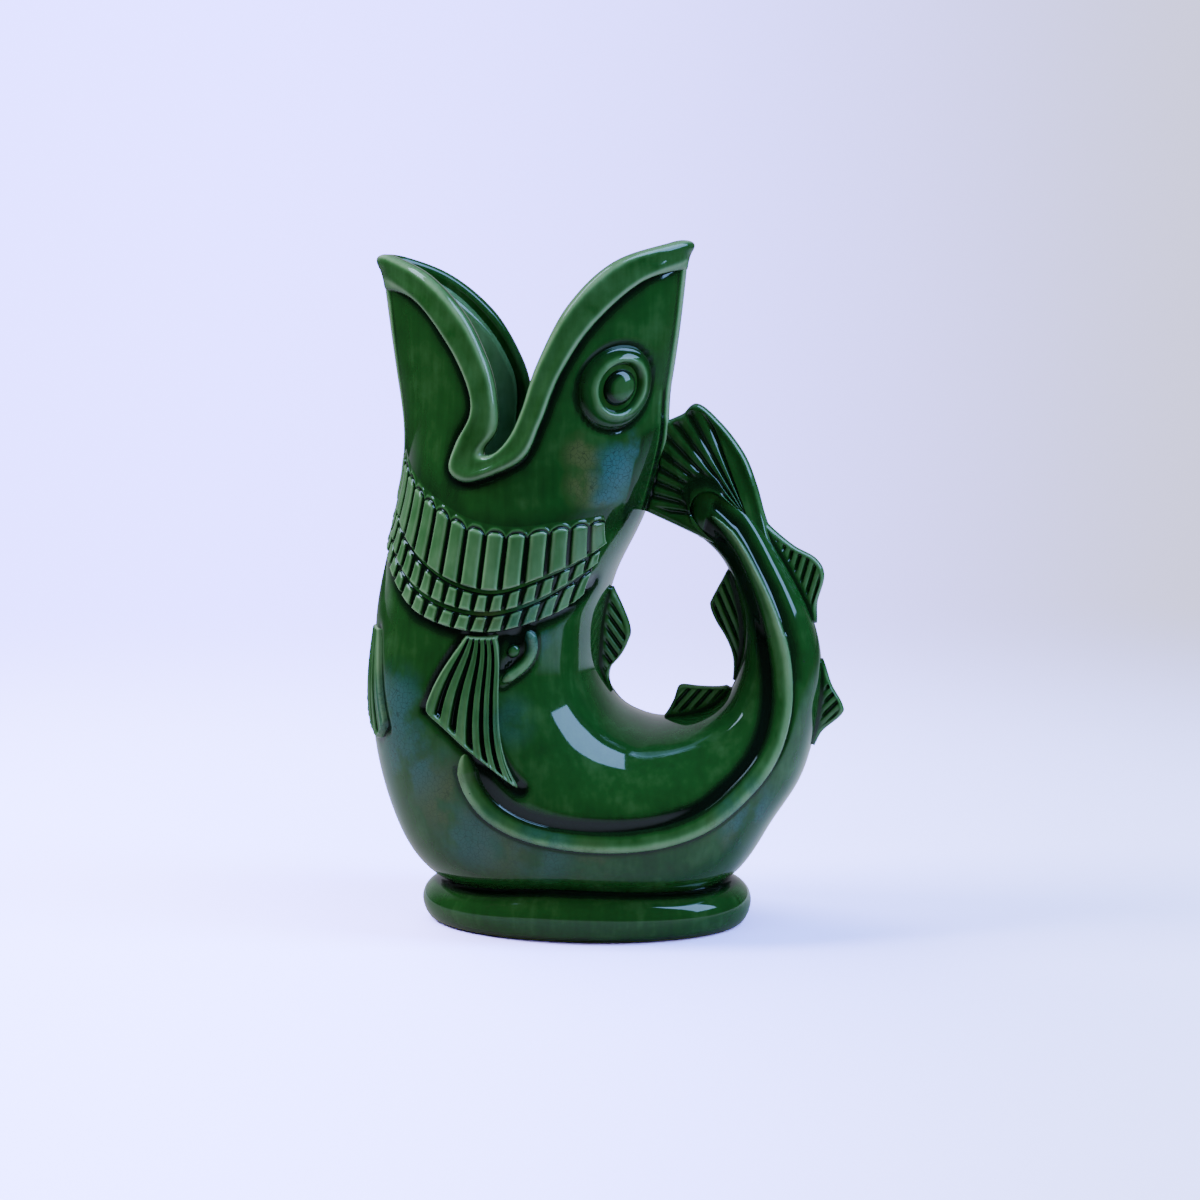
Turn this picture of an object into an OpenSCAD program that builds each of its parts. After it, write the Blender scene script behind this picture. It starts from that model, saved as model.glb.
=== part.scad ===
// Gurgle jug: a glazed earthenware pitcher in the shape of an upright fish.
// The fish opens its mouth at the top to pour, stands on an oval foot, and curls its
// hollow tail up behind it, so that the tail is the handle and gurgles as it empties.
//
// The origin is the middle of the foot, on the table. +X points to the handle, +Z is up,
// and the two sides mirror each other in the XZ plane. Left is the -Y side, as the
// person who pours sees it.
//
// Every shape lies on one surface, skin(), whose places are [station, angle]. Stations
// run down the fish: 0 to 9 down the head and throat, then one for each turn_step_deg
// degrees round the middle of the handle's hole, up the tail. The angle goes round the
// fish: 0 on its back, which faces the hole, 90 on its left flank, 180 on its front.
// So tables of places are shares of the driving sizes, and follow them.

/* [Body] */
// Height from the table to the tip of the upper lip
jug_h = 246; // [225:1:270]
// From the middle of the handle's hole to the front of the belly
belly_reach = 109; // [100:1:118]
// Width of the belly from side to side
jug_w = 99; // [88:1:110]
// Thickness of the cast wall
wall = 4.5; // [3:0.1:6]
// From the middle of the foot back to the middle of the handle's hole
hole_x = 31; // [28:0.5:34]
// Height of the body's underside above the table
under_z = 12; // [10:0.5:15]

/* [Foot] */
// Length of the foot's flat base
foot_l = 113; // [104:1:118]
// Width of the foot's flat base
foot_w = 80; // [70:1:84]
// How far the foot swells past its base
foot_swell = 4; // [2:0.25:6]
// Width of the ring that the foot stands on
foot_land = 8; // [6:0.5:11]
// Height of the hollow under the foot at the inside of its ring
foot_hollow = 5; // [3:0.5:8]

/* [Mouth] */
// How far the lip stands out from the head
lip_h = 3; // [1.5:0.1:4.5]

/* [Face] */
// Radius of the ring round the eye
eye_r = 14.5; // [12:0.25:16]
// Radius of the pupil
pupil_r = 6.4; // [5:0.1:8]
// Height of the ring round the eye
eye_h = 2.4; // [1.5:0.1:4]
// Height of the pupil's dome
pupil_h = 3.4; // [2:0.1:5]

/* [Gill collar] */
// Plates in the upper row on each side
upper_n = 15; // [9:1:17]
// Plates in the middle row on each side
middle_n = 20; // [12:1:22]
// Plates in the lower row on each side
lower_n = 18; // [12:1:20]
// How far the plates stand out from the throat
plate_h = 1.8; // [1:0.1:3]

/* [Fins] */
// Thickness of the tail fin and the small fins at their roots
fin_t = 9; // [6:0.5:11]
// Thickness of the fins along their free edges
fin_edge_t = 3.6; // [2.5:0.1:5]
// Depth of the grooves between the rays of the fins
ray_d = 1.1; // [0.5:0.1:1.5]
// Height of the belly fins
belly_fin_h = 2.6; // [1.5:0.1:4]
// Rays in each pectoral fin
pectoral_n = 6; // [4:1:8]
// Rays in each ventral fin
ventral_n = 5; // [3:1:7]
// Rays in the tail fin
tail_n = 10; // [7:1:12]

/* [Flank] */
// Width of the raised line along the flank
line_w = 7; // [5:0.25:9]
// Height of the raised line along the flank
line_h = 2.3; // [1.2:0.1:3.5]
// Width of the bead round the gill flap
flap_w = 3.4; // [2.5:0.1:4.5]
// Height of the bead round the gill flap
flap_h = 2.2; // [1:0.1:3]
// Radius of the small boss in the gill flap
boss_r = 2.4; // [1.5:0.1:3]

/* [Hidden] */

// Joint of slip between two pieces, kept open in the model
gap = 0.3;

// Stations in the head, and the turn between two stations in the curl
head_n = 9;
turn_step_deg = 15;
// Station where the tail's tube starts, and the one where it ends
tube_start_n = 17;
tube_end_n = 26;

// Distance from the hole's middle to the fish's front, at each station
front_shares = [0.968, 0.950, 0.930, 0.908, 0.888, 0.893, 0.920, 0.955, 0.983, 0.998,
    1.030, 1.072, 1.070, 0.911, 0.822, 0.789, 0.765, 0.656, 0.596, 0.546,
    0.514, 0.498, 0.487, 0.483, 0.500, 0.540, 0.587];
// Distance from the hole's middle to the fish's back, at each station
back_shares = [-0.050, -0.035, -0.017, 0.006, 0.034, 0.068, 0.116, 0.174, 0.220, 0.235,
    0.237, 0.235, 0.233, 0.223, 0.215, 0.206, 0.205, 0.211, 0.220, 0.226,
    0.228, 0.234, 0.248, 0.271, 0.307, 0.358, 0.402];
// Half the fish's thickness, at each station
flank_shares = [0.650, 0.665, 0.690, 0.720, 0.758, 0.788, 0.828, 0.879, 0.929, 0.960,
    0.990, 1.000, 0.990, 0.970, 0.939, 0.889, 0.798, 0.677, 0.556, 0.455,
    0.380, 0.333, 0.300, 0.275, 0.245, 0.200, 0.140];
// How much the section is drawn in towards the front, or filled out where negative
front_pinch_shares = [0.50, 0.48, 0.42, 0.34, 0.24, 0.14, 0.04, 0.00, 0.00, 0.00,
    0.00, -0.04, -0.20, -0.40, -0.40, -0.35, -0.20, -0.05, 0.00, 0.00,
    0.00, 0.00, 0.00, 0.00, 0.00, 0.00, 0.00];
// How much the section is drawn in towards the back
back_pinch_shares = [0.50, 0.48, 0.42, 0.36, 0.26, 0.14, 0.04, 0.00, 0.00, 0.00,
    0.00, 0.00, 0.00, 0.00, 0.00, 0.00, 0.00, 0.00, 0.00, 0.00,
    0.00, 0.00, 0.00, 0.00, 0.00, 0.00, 0.00];
// The underside is at this share of belly_reach below the hole's middle
under_share = 0.789;
hole_z = under_z + under_share * belly_reach;

// The lip from its front tip round the left corner of the mouth to its back tip:
// station and angle of its outer edge, then of its top edge, then how far across it the
// wall of the head stands. The first and last rows lie past the tips, on the right.
lip_shares = [
    [0.92, 204, 0.36, 204, 0.5], [0.80, 180, 0.30, 180, 0.5], [0.92, 156, 0.36, 156, 0.5],
    [1.38, 135, 0.75, 132, 0.5], [2.23, 120, 1.55, 114, 0.5], [3.10, 111, 2.60, 103, 0.5],
    [3.70, 110, 3.40, 99, 0.4], [4.30, 117, 4.00, 99, 0.6], [4.85, 119, 4.40, 104, 0.8],
    [5.11, 109, 4.55, 102, 0.8], [4.92, 95, 4.46, 96, 0.6], [4.57, 83, 4.10, 90, 0.5],
    [3.84, 78, 3.53, 86, 0.5], [2.82, 72, 2.60, 81, 0.5], [1.76, 60, 1.33, 69, 0.5],
    [0.90, 41, 0.43, 50, 0.5], [0.50, 16, 0.05, 20, 0.5], [0.42, 0, 0.00, 0, 0.5],
    [0.50, -16, 0.05, -20, 0.5]];
// The lip's section: across it as a share of its width, out from the head as a share of
// lip_h, and in from the head as a share of wall
lip_section_shares = [[0, 0.1, 0], [0.09, 0.65, 0], [0.28, 1, 0], [0.55, 0.8, 0],
    [0.82, 0.7, 0], [1.03, 0.3, 0], [1.08, 0, 0.4], [1.0, 0, 0.9]];

// The lip has this many steps between two rows of places
lip_steps = 2;
// The slot for the wall in the lip starts at this share of its width past the wall
lip_seat_share = 0.03;
// How far the columns of the wall lean forward at the throat, in degrees
throat_lean_deg = 11;
// Station of the throat, below which the rows of the wall are level
throat_n = 6;

// Distance of the gill collar's four edges down the head, for each 20 degrees of angle
collar_step_deg = 20;
upper_top_shares = [5.75, 5.85, 5.93, 6.01, 6.10, 5.98, 5.62, 5.20, 4.72, 4.45];
middle_top_shares = [5.90, 6.20, 6.71, 7.09, 7.36, 7.22, 6.83, 6.29, 5.68, 5.30];
lower_top_shares = [6.30, 6.60, 7.13, 7.59, 7.82, 7.72, 7.40, 6.86, 6.20, 5.85];
lower_end_shares = [6.80, 7.12, 7.76, 8.08, 8.24, 8.14, 7.84, 7.22, 6.65, 6.35];
// Angles where the collar starts on the back and meets itself on the front
collar_back_deg = 33;
collar_front_deg = 179.5;
// Outline of a plate: share of its width, share of its length from the top
round_plate_shares = [[0.07, 1], [0.05, 0.16], [0.22, 0.04], [0.5, 0], [0.78, 0.04],
    [0.95, 0.16], [0.93, 1]];
square_plate_shares = [[0.12, 0.86], [0.10, 0.22], [0.5, 0.14], [0.90, 0.22], [0.88, 0.86]];
// A plate's crown is drawn in by this share, and its shoulder is this share of its height
plate_inset_share = 0.72;
plate_shoulder_share = 0.6;
// Height of the plates in the two lower rows, as a share of plate_h
small_plate_share = 0.8;

// Middle of the eye
eye_shares = [3.10, 45.6];
// Section of the ring round the eye: shares of eye_r outwards and of eye_h upwards
eye_section_shares = [[0.5, 0.15], [0.5, 0.8], [0.57, 1.1], [0.66, 0.8], [0.85, 0.95],
    [0.97, 0.6], [1, 0.15]];
// Section of a dome, as shares of its radius and height
dome_shares = [[1, 0.1], [0.96, 0.5], [0.72, 0.82], [0.38, 0.97], [0.05, 1]];

// Depth of the groove between two of a fin's rays, as a share of ray_d: u goes across them
function groove(rays, u) = (1 + cos(360 * rays * u)) / 2;

// Belly fins: root edge and free edge, as places from the front to the back
pectoral_root_shares = [[8.33, 91], [8.36, 87], [8.38, 83], [8.39, 79], [8.38, 75]];
pectoral_edge_shares = [[9.70, 108], [10.15, 97.5], [10.75, 89], [11.25, 84], [11.62, 79.5]];
ventral_root_shares = [[8.40, 164], [8.42, 161], [8.43, 158], [8.44, 154], [8.45, 150]];
ventral_edge_shares = [[9.55, 168], [9.78, 161], [9.95, 153], [10.05, 145], [9.90, 136]];

// Raised line along the flank, from under the pectoral fin to the tail's end
line_shares = [[10.85, 91.4], [11.25, 92], [11.7, 92], [12.2, 93.5], [12.7, 96.5], [13.4, 98.8],
    [14.1, 98.8], [15.0, 97], [15.9, 96.5], [16.7, 99], [17.4, 102.7], [18.1, 105], [18.8, 105.3],
    [19.6, 102.3], [20.5, 97], [21.4, 92.5], [22.3, 90], [23.3, 89.5], [24.2, 93], [25.0, 101],
    [25.7, 113]];
// Across the line: share of half its width, share of its height
bead_shares = [[1, 0.12], [0.75, 0.75], [0.3, 1], [-0.3, 1], [-0.75, 0.75], [-1, 0.12]];
// Bead round the gill flap, and the boss in it
flap_shares = [[8.42, 60.5], [8.60, 58], [8.80, 58.5], [9.02, 62], [9.18, 66]];
boss_shares = [8.62, 67];

// Small fins on the outside and the inside of the curl. Root: stations where it starts
// and ends. Edge: station, and height as a share of fin_h
fin_h = 13;
outer_upper_shares = [[21.9, 0.08], [22.4, 0.30], [22.9, 0.78], [23.3, 0.80], [23.8, 0.45],
    [24.6, 0.10]];
outer_lower_shares = [[18.9, 0.08], [19.3, 0.22], [19.8, 0.66], [20.0, 0.64], [20.4, 0.28],
    [21.0, 0.05]];
inner_body_shares = [[7.5, 0.08], [7.95, 0.50], [8.4, 0.80], [8.7, 0.74], [9.4, 0.42],
    [10.3, 0.16], [11.2, 0.05]];
inner_upper_shares = [[19.6, 0.06], [21.0, 0.24], [22.3, 0.52], [23.4, 0.80], [24.4, 1.00],
    [24.65, 0.86], [24.8, 0.10]];
inner_lower_shares = [[14.6, 0.06], [15.2, 0.44], [15.9, 0.82], [17.0, 0.84], [18.2, 0.60],
    [19.2, 0.14]];
// Stations of each small fin's root
outer_upper_root_shares = [21.9, 24.6];
outer_lower_root_shares = [18.9, 21.0];
inner_body_root_shares = [7.5, 11.2];
inner_upper_root_shares = [19.6, 24.8];
inner_lower_root_shares = [14.6, 19.2];

// The tube's round end reaches this share of a station past tube_end_n
tube_cap_share = 0.5;
// Tail fin: stations where its two sides leave the tube, at the hole and outside
tail_root_shares = [25.75, 24.75];
// Tail fin: its outer edge from the hole over the head's back to the outside, as shares of
// belly_reach from the hole's middle. The first rows lie on the head and take their place
// from its back
tail_outer_shares = [[-0.085, 0.481], [-0.055, 0.590], [-0.028, 0.700], [-0.002, 0.778],
    [0.079, 0.832], [0.161, 0.773], [0.241, 0.670], [0.283, 0.569], [0.310, 0.473]];
tail_joint_n = 3;

// Smooth curve through the rows of a table
function curve(table, place) =
    let (last = len(table) - 1,
        at = max(0, min(place, last - 0.000001)),
        i = floor(at),
        f = at - i,
        b = table[i],
        c = table[i + 1],
        a = i > 0 ? table[i - 1] : 2 * b - c,
        d = i + 2 <= last ? table[i + 2] : 2 * c - b)
    (2 * b + (c - a) * f + (2 * a - 5 * b + 4 * c - d) * f * f
        + (3 * b - a - 3 * c + d) * f * f * f) / 2;

// Half thickness of the section at share c of the way from its middle to its back
function section(station, c) =
    let (pinch = curve(c > 0 ? back_pinch_shares : front_pinch_shares, station))
    sqrt(max(0, 1 - c * c)) * (1 - pinch * c * c);

// A point on the fish, out from its surface by rise
function skin(station, angle, rise = 0) =
    let (front = curve(front_shares, station) * belly_reach,
        back = curve(back_shares, station) * belly_reach,
        flank = curve(flank_shares, station) * jug_w / 2,
        c = cos(angle),
        r = (front + back) / 2 - ((front - back) / 2 + rise) * c,
        y = -sign(sin(angle)) * (flank + rise) * section(station, c),
        turn = 180 + (station - head_n) * turn_step_deg)
    station <= head_n
        ? [hole_x - r, y, jug_h - (jug_h - hole_z) * station / head_n]
        : [hole_x + r * cos(turn), y, hole_z + r * sin(turn)];

// Length of one station, and of one degree, at a place
nudge = 0.01;
function station_len(station, angle) =
    norm(skin(station + nudge, angle) - skin(station - nudge, angle)) / (2 * nudge);
function angle_len(station, angle) =
    norm(skin(station, angle + nudge) - skin(station, angle - nudge)) / (2 * nudge);

// The point that lies along and across from a place, measured on the surface
function spot(place, along, across, rise) =
    skin(place[0] + across / station_len(place[0], place[1]),
        place[1] + along / angle_len(place[0], place[1]), rise);

// Whether a point below the hole's middle is inside the fish
function inside(x, y, z) =
    let (dx = x - hole_x,
        dz = z - hole_z,
        station = head_n + ((atan2(dz, dx) + 360) % 360 - 180) / turn_step_deg,
        front = curve(front_shares, station) * belly_reach,
        back = curve(back_shares, station) * belly_reach,
        c = ((front + back) / 2 - norm([dx, dz])) / ((front - back) / 2))
    abs(c) < 1 && abs(y) < curve(flank_shares, station) * jug_w / 2 * section(station, c);

// Height of the fish's underside above a point of the table, found by halving
function underside(x, y, low, high, times) =
    times == 0 ? low
    : inside(x, y, (low + high) / 2) ? underside(x, y, low, (low + high) / 2, times - 1)
    : underside(x, y, (low + high) / 2, high, times - 1);

function mean(points) = [for (p = points) 1] * points / len(points);
function mix(a, b, share) = a + (b - a) * share;
function mirrored(points) = [for (p = points) [p[0], -p[1], p[2]]];
function flip(list) = [for (i = [len(list) - 1:-1:0]) list[i]];

// A solid whose surface passes through loops of points, each with as many points.
// With wrap, the last loop joins the first. Otherwise a fan closes each end
module looped(loops, wrap = false) {
    n = len(loops[0]);
    m = len(loops);
    points = [for (loop = loops) each loop];
    ends = wrap ? [] : [mean(loops[0]), mean(loops[m - 1])];
    sides = [for (i = [0:wrap ? m - 1 : m - 2], j = [0:n - 1])
        let (a = i * n + j, b = (i + 1) % m * n + j,
            c = (i + 1) % m * n + (j + 1) % n, d = i * n + (j + 1) % n)
        each [[a, b, c], [a, c, d]]];
    caps = wrap ? [] : [for (j = [0:n - 1])
        each [[m * n, j, (j + 1) % n],
            [m * n + 1, (m - 1) * n + (j + 1) % n, (m - 1) * n + j]]];
    polyhedron(concat(points, ends), concat(sides, caps));
}

// A solid between two grids of points, an outer one and an inner one
module sheet(outer, inner) {
    m = len(outer);
    n = len(outer[0]);
    k = m * n;
    grids = [for (i = [0:m - 2], j = [0:n - 2])
        let (a = i * n + j, b = a + n, c = b + 1, d = a + 1)
        each [[a, b, c], [a, c, d], [k + a, k + c, k + b], [k + a, k + d, k + c]]];
    ends = [for (j = [0:n - 2])
        let (a = j, b = j + 1, c = (m - 1) * n + j, d = c + 1)
        each [[a, b, k + b], [a, k + b, k + a], [d, c, k + c], [d, k + c, k + d]]];
    edges = [for (i = [0:m - 2])
        let (a = i * n, b = a + n, c = a + n - 1, d = c + n)
        each [[b, a, k + a], [b, k + a, k + b], [c, d, k + d], [c, k + d, k + c]]];
    points = concat([for (row = outer) each row], [for (row = inner) each row]);
    polyhedron(points, concat(grids, ends, edges));
}

// Place on the lip's left half: t runs from its front tip to its back tip
lip_n = len(lip_shares) - 3;
lip_ts = [for (i = [0:lip_n * lip_steps]) i / lip_steps];
function lip_place(t, share) =
    let (row = curve(lip_shares, t + 1))
    [mix(row[0], row[2], share), mix(row[1], row[3], share)];

// Column of the wall below a place on the lip: down is 0 at the lip, 1 at the throat
function wall_place(t, down) =
    let (edge = lip_place(t, curve(lip_shares, t + 1)[4]),
        foot = [throat_n, 180 * (1 - t / lip_n) + throat_lean_deg * sin(180 * t / lip_n)])
    mix(edge, foot, down);

// Rows of the wall between the throat and the curl, and in the curl
neck_rows = 5;
curl_rows = 16;
wall_down_shares = [0, 0.08, 0.2, 0.35, 0.5, 0.66, 0.83, 1];
wall_stations = concat([for (i = [1:neck_rows]) mix(throat_n, head_n, i / neck_rows)],
    [for (i = [1:curl_rows]) mix(head_n, tube_start_n, i / curl_rows)]);

function wall_loop(places, rise) =
    let (left = [for (p = places) skin(p[0], p[1], rise)])
    concat(left, mirrored(flip([for (i = [1:len(left) - 2]) left[i]])));

function wall_loops(rise) = concat(
    [for (down = wall_down_shares)
        wall_loop([for (t = lip_ts) wall_place(t, down)], rise)],
    [for (s = wall_stations)
        wall_loop([for (t = lip_ts) [s, wall_place(t, 1)[1]]], rise)]);

// The cast wall from the mouth down to where the tail's tube starts
module body_shell() {
    color("#1d4a22") looped(concat(wall_loops(-wall), flip(wall_loops(0))), true);
}

// The thick rolled lip, seated over the wall's top edge
module mouth_rim() {
    function ring(t) =
        let (seat = curve(lip_shares, t + 1)[4],
            a = lip_place(t, seat + lip_seat_share))
        concat([for (p = lip_section_shares)
            let (q = lip_place(t, p[0]))
            skin(q[0], q[1], p[1] * lip_h - p[2] * wall)],
            [skin(a[0], a[1], -wall), skin(a[0], a[1], gap)]);
    left = [for (t = lip_ts) ring(t)];
    right = [for (i = [len(left) - 2:-1:1]) mirrored(left[i])];
    color("#2f6a38") looped(flip(concat(left, right)), true);
}

// The oval foot, swelling under the body and hollow beneath
foot_n = 44;
foot_halvings = 14;
// Outside of the foot, as shares of foot_swell outwards and of its height upwards. It and the
// hollow start below the table, and are cut off flat there
foot_section_shares = [[-0.5, -0.08], [0.5, 0.08], [0.9, 0.28], [1, 0.48], [0.8, 0.68],
    [0.2, 0.86], [-0.4, 0.93]];
foot_cut_share = 0.2;
module foot_ring() {
    function at(turn, out, z) =
        [(foot_l / 2 + out) * cos(turn), (foot_w / 2 + out) * sin(turn), z];
    function seat(turn, out) =
        let (p = at(turn, out, 0))
        at(turn, out, underside(p[0], p[1], 0, hole_z - belly_reach / 2, foot_halvings) - gap);
    function ring(turn) =
        let (top = seat(turn, -foot_swell)[2])
        concat([for (p = foot_section_shares) at(turn, p[0] * foot_swell, p[1] * top)],
            [seat(turn, -foot_swell), seat(turn, -foot_swell - foot_land / 2),
                seat(turn, -foot_swell - foot_land),
                at(turn, -foot_swell - foot_land, foot_hollow),
                at(turn, foot_cut_share * foot_swell - foot_land, -foot_cut_share * foot_hollow)]);
    color("#123d1a") difference() {
        looped([for (i = [0:foot_n - 1]) flip(ring(i * 360 / foot_n))], true);
        translate([-foot_l, -foot_w, -foot_hollow]) cube([2 * foot_l, 2 * foot_w, foot_hollow]);
    }
}

// A point on the tube's round end: turn is 0 at the tube's side and 90 at its tip
function tube_tip(end, turn, angle, rise) =
    let (station = end + tube_cap_share * sin(turn),
        p = skin(station, angle, rise),
        middle = (skin(station, 0, rise) + skin(station, 180, rise)) / 2)
    mix(middle, p, cos(turn));

// The hollow tail, from the body up to its round end in the tail fin
tube_n = 32;
tube_rows = 16;
tube_turns = [22, 44, 64, 80];
module tail_tube() {
    function loops(end, rise) = concat(
        [for (i = [0:tube_rows])
            [for (j = [0:tube_n - 1])
                skin(mix(tube_start_n, end, i / tube_rows), j * 360 / tube_n, rise)]],
        [for (turn = tube_turns)
            [for (j = [0:tube_n - 1]) tube_tip(end, turn, j * 360 / tube_n, rise)]]);
    color("#1f5427") looped(concat(flip(loops(tube_end_n - tube_cap_share, -wall)), loops(tube_end_n, 0)));
}

// The tail fin: a ribbed fan from the tube's end to the back of the head
tail_cols = 4;
tail_rows = 5;
// Share of the fin's root on each side of the tube's round end
tail_side_share = 0.3;
// At the head the fin thins by this share of the way to its edge thickness
tail_joint_share = 0.25;
module tail_fin() {
    last = len(tail_outer_shares) - 1;
    n = tail_n * tail_cols;
    function inner_edge(u) =
        let (way = 1 - abs(2 * u - 1),
            on_tip = way > tail_side_share,
            turn = on_tip ? 90 * (way - tail_side_share) / (1 - tail_side_share) : 0,
            root = tail_root_shares[u < 0.5 ? 0 : 1],
            station = on_tip ? tube_end_n : mix(root, tube_end_n, way / tail_side_share))
        tube_tip(station, turn, u < 0.5 ? 0 : 180, gap);
    function on_head(u) = u * last <= tail_joint_n;
    function outer_edge(u) =
        let (p = curve(tail_outer_shares, u * last) * belly_reach,
            z = hole_z + p[1],
            station = (jug_h - z) / (jug_h - hole_z) * head_n)
        [on_head(u) ? skin(station, 0)[0] + gap : hole_x + p[0], 0, z];
    function half(u, v) =
        let (edge = on_head(u) ? mix(fin_t, fin_edge_t, tail_joint_share) : fin_edge_t)
        mix(fin_t, edge, v * v) / 2 - ray_d * groove(tail_n, u) * sin(180 * v);
    function grid(side) = [for (i = [0:tail_rows])
        [for (j = [0:n])
            let (p = mix(inner_edge(j / n), outer_edge(j / n), i / tail_rows))
            [p[0], side * half(j / n, i / tail_rows), p[2]]]];
    color("#1c4c25") sheet(grid(-1), grid(1));
}

// Eye
eye_n = 28;
module eye_ring() {
    looped([for (i = [0:eye_n - 1])
        [for (p = eye_section_shares)
            let (r = p[0] * eye_r, turn = i * 360 / eye_n)
            spot(eye_shares, r * cos(turn), r * sin(turn), p[1] * eye_h)]], true);
}

module eye_pupil() {
    dome(eye_shares, pupil_r, pupil_h, eye_n);
}

// One plate of the gill collar, between two angles and two edges of the collar
module gill_plate(outline, top, end, from, to, height) {
    function place(p) =
        let (angle = mix(from, to, p[0]),
            t = angle / collar_step_deg)
        [mix(curve(top, t), curve(end, t), p[1]), angle];
    middle = mean(outline);
    inset = [for (p = outline) mix(middle, p, plate_inset_share)];
    looped([
        [for (p = inset) skin(place(p)[0], place(p)[1], height)],
        [for (p = outline) skin(place(p)[0], place(p)[1], height * plate_shoulder_share)],
        [for (p = outline) skin(place(p)[0], place(p)[1], gap)]]);
}

module gill_row(outline, top, end, count, height) {
    width = (collar_front_deg - collar_back_deg) / count;
    for (i = [0:count - 1])
        gill_plate(outline, top, end, collar_front_deg - i * width, collar_front_deg - (i + 1) * width,
            height);
}

module upper_plates() {
    gill_row(round_plate_shares, upper_top_shares, middle_top_shares, upper_n, plate_h);
}

module middle_plates() {
    gill_row(square_plate_shares, middle_top_shares, lower_top_shares, middle_n,
        plate_h * small_plate_share);
}

module lower_plates() {
    gill_row(square_plate_shares, lower_top_shares, lower_end_shares, lower_n,
        plate_h * small_plate_share);
}

// A fin that lies on the belly: rays fan out from its root to its free edge
fan_cols = 4;
fan_rows = 5;
// Height at the root of a belly fin, as a share of belly_fin_h
belly_root_share = 0.55;
// How far the ventral fins stand out, as a share of what the pectoral fins do
ventral_rise_share = 0.6;
module belly_fin(root, edge, count, share) {
    last = len(root) - 1;
    n = count * fan_cols;
    function place(u, v) = mix(curve(root, u * last), curve(edge, u * last), v);
    function rise(u, v) =
        share * (belly_fin_h * mix(belly_root_share, 1, v) - ray_d * groove(count, u));
    function grid(low) = [for (i = [0:fan_rows])
        [for (j = [0:n])
            let (v = i / fan_rows, u = 1 - j / n, p = place(u, v))
            skin(p[0], p[1], low ? gap : max(2 * gap, rise(u, v)))]];
    sheet(grid(false), grid(true));
}

module pectoral_fin() {
    belly_fin(pectoral_root_shares, pectoral_edge_shares, pectoral_n, 1);
}

module ventral_fin() {
    belly_fin(ventral_root_shares, ventral_edge_shares, ventral_n, ventral_rise_share);
}

// A bead that follows places over the surface. Its ends taper to this share of its size, and
// widen by bead_widen_share over each row of places
bead_end_share = 0.25;
bead_widen_share = 1.5;
module bead(places, width, height, steps) {
    last = len(places) - 1;
    n = last * steps;
    function row(i, low) =
        let (t = i / steps,
            p = curve(places, t),
            q = curve(places, min(last, t + nudge)) - curve(places, max(0, t - nudge)),
            way = [q[1] * angle_len(p[0], p[1]), q[0] * station_len(p[0], p[1])],
            unit = way / norm(way),
            taper = min(1, bead_end_share + bead_widen_share * min(i, n - i) / steps))
        [for (b = bead_shares)
            let (off = b[0] * width / 2 * taper)
            spot(p, -unit[1] * off, unit[0] * off, low ? gap : max(2 * gap, b[1] * height * taper))];
    sheet([for (i = [0:n]) row(i, false)], [for (i = [0:n]) row(i, true)]);
}

// A dome that stands on the surface at a place
module dome(place, radius, height, sides) {
    looped([for (p = dome_shares)
        [for (i = [0:sides - 1])
            let (r = p[0] * radius, turn = i * 360 / sides)
            spot(place, r * cos(turn), r * sin(turn), max(gap, p[1] * height))]]);
}

boss_n = 12;
module gill_flap() {
    bead(flap_shares, flap_w, flap_h, 2);
    dome(boss_shares, boss_r, flap_h, boss_n);
}

module lateral_line() {
    bead(line_shares, line_w, line_h, 2);
}

// A small fin that stands on the fish's front line or back line
small_n = 20;
small_rows = 4;
small_rays = 5;
// Thickness at a small fin's root, as a share of fin_t
small_root_share = 0.75;
// Depth of a small fin's grooves at its root, middle and edge
small_groove_shares = [0.3, 1, 0.3];
module small_fin(root, edge, angle) {
    last = len(edge) - 1;
    way = angle == 0 ? -1 : 1;
    function grid(side) = [for (i = [0:small_rows])
        [for (j = [0:small_n])
            let (u = j / small_n,
                v = i / small_rows,
                e = curve(edge, u * last),
                station = mix(mix(root[0], root[1], u), e[0], v),
                rise = mix(gap, max(2 * gap, e[1] * fin_h), v),
                depth = ray_d * groove(small_rays, u) * curve(small_groove_shares, 2 * v),
                half = mix(fin_t * small_root_share, fin_edge_t, v) / 2 - depth,
                p = skin(station, angle, rise))
            [p[0], way * side * half, p[2]]]];
    sheet(grid(1), grid(-1));
}

module outer_fin_upper() {
    color("#2c6233") small_fin(outer_upper_root_shares, outer_upper_shares, 180);
}

module outer_fin_lower() {
    color("#2c6233") small_fin(outer_lower_root_shares, outer_lower_shares, 180);
}

module inner_fin_body() {
    color("#2c6233") small_fin(inner_body_root_shares, inner_body_shares, 0);
}

module inner_fin_upper() {
    color("#2c6233") small_fin(inner_upper_root_shares, inner_upper_shares, 0);
}

module inner_fin_lower() {
    color("#2c6233") small_fin(inner_lower_root_shares, inner_lower_shares, 0);
}

module right() {
    mirror([0, 1, 0]) children();
}

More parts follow.
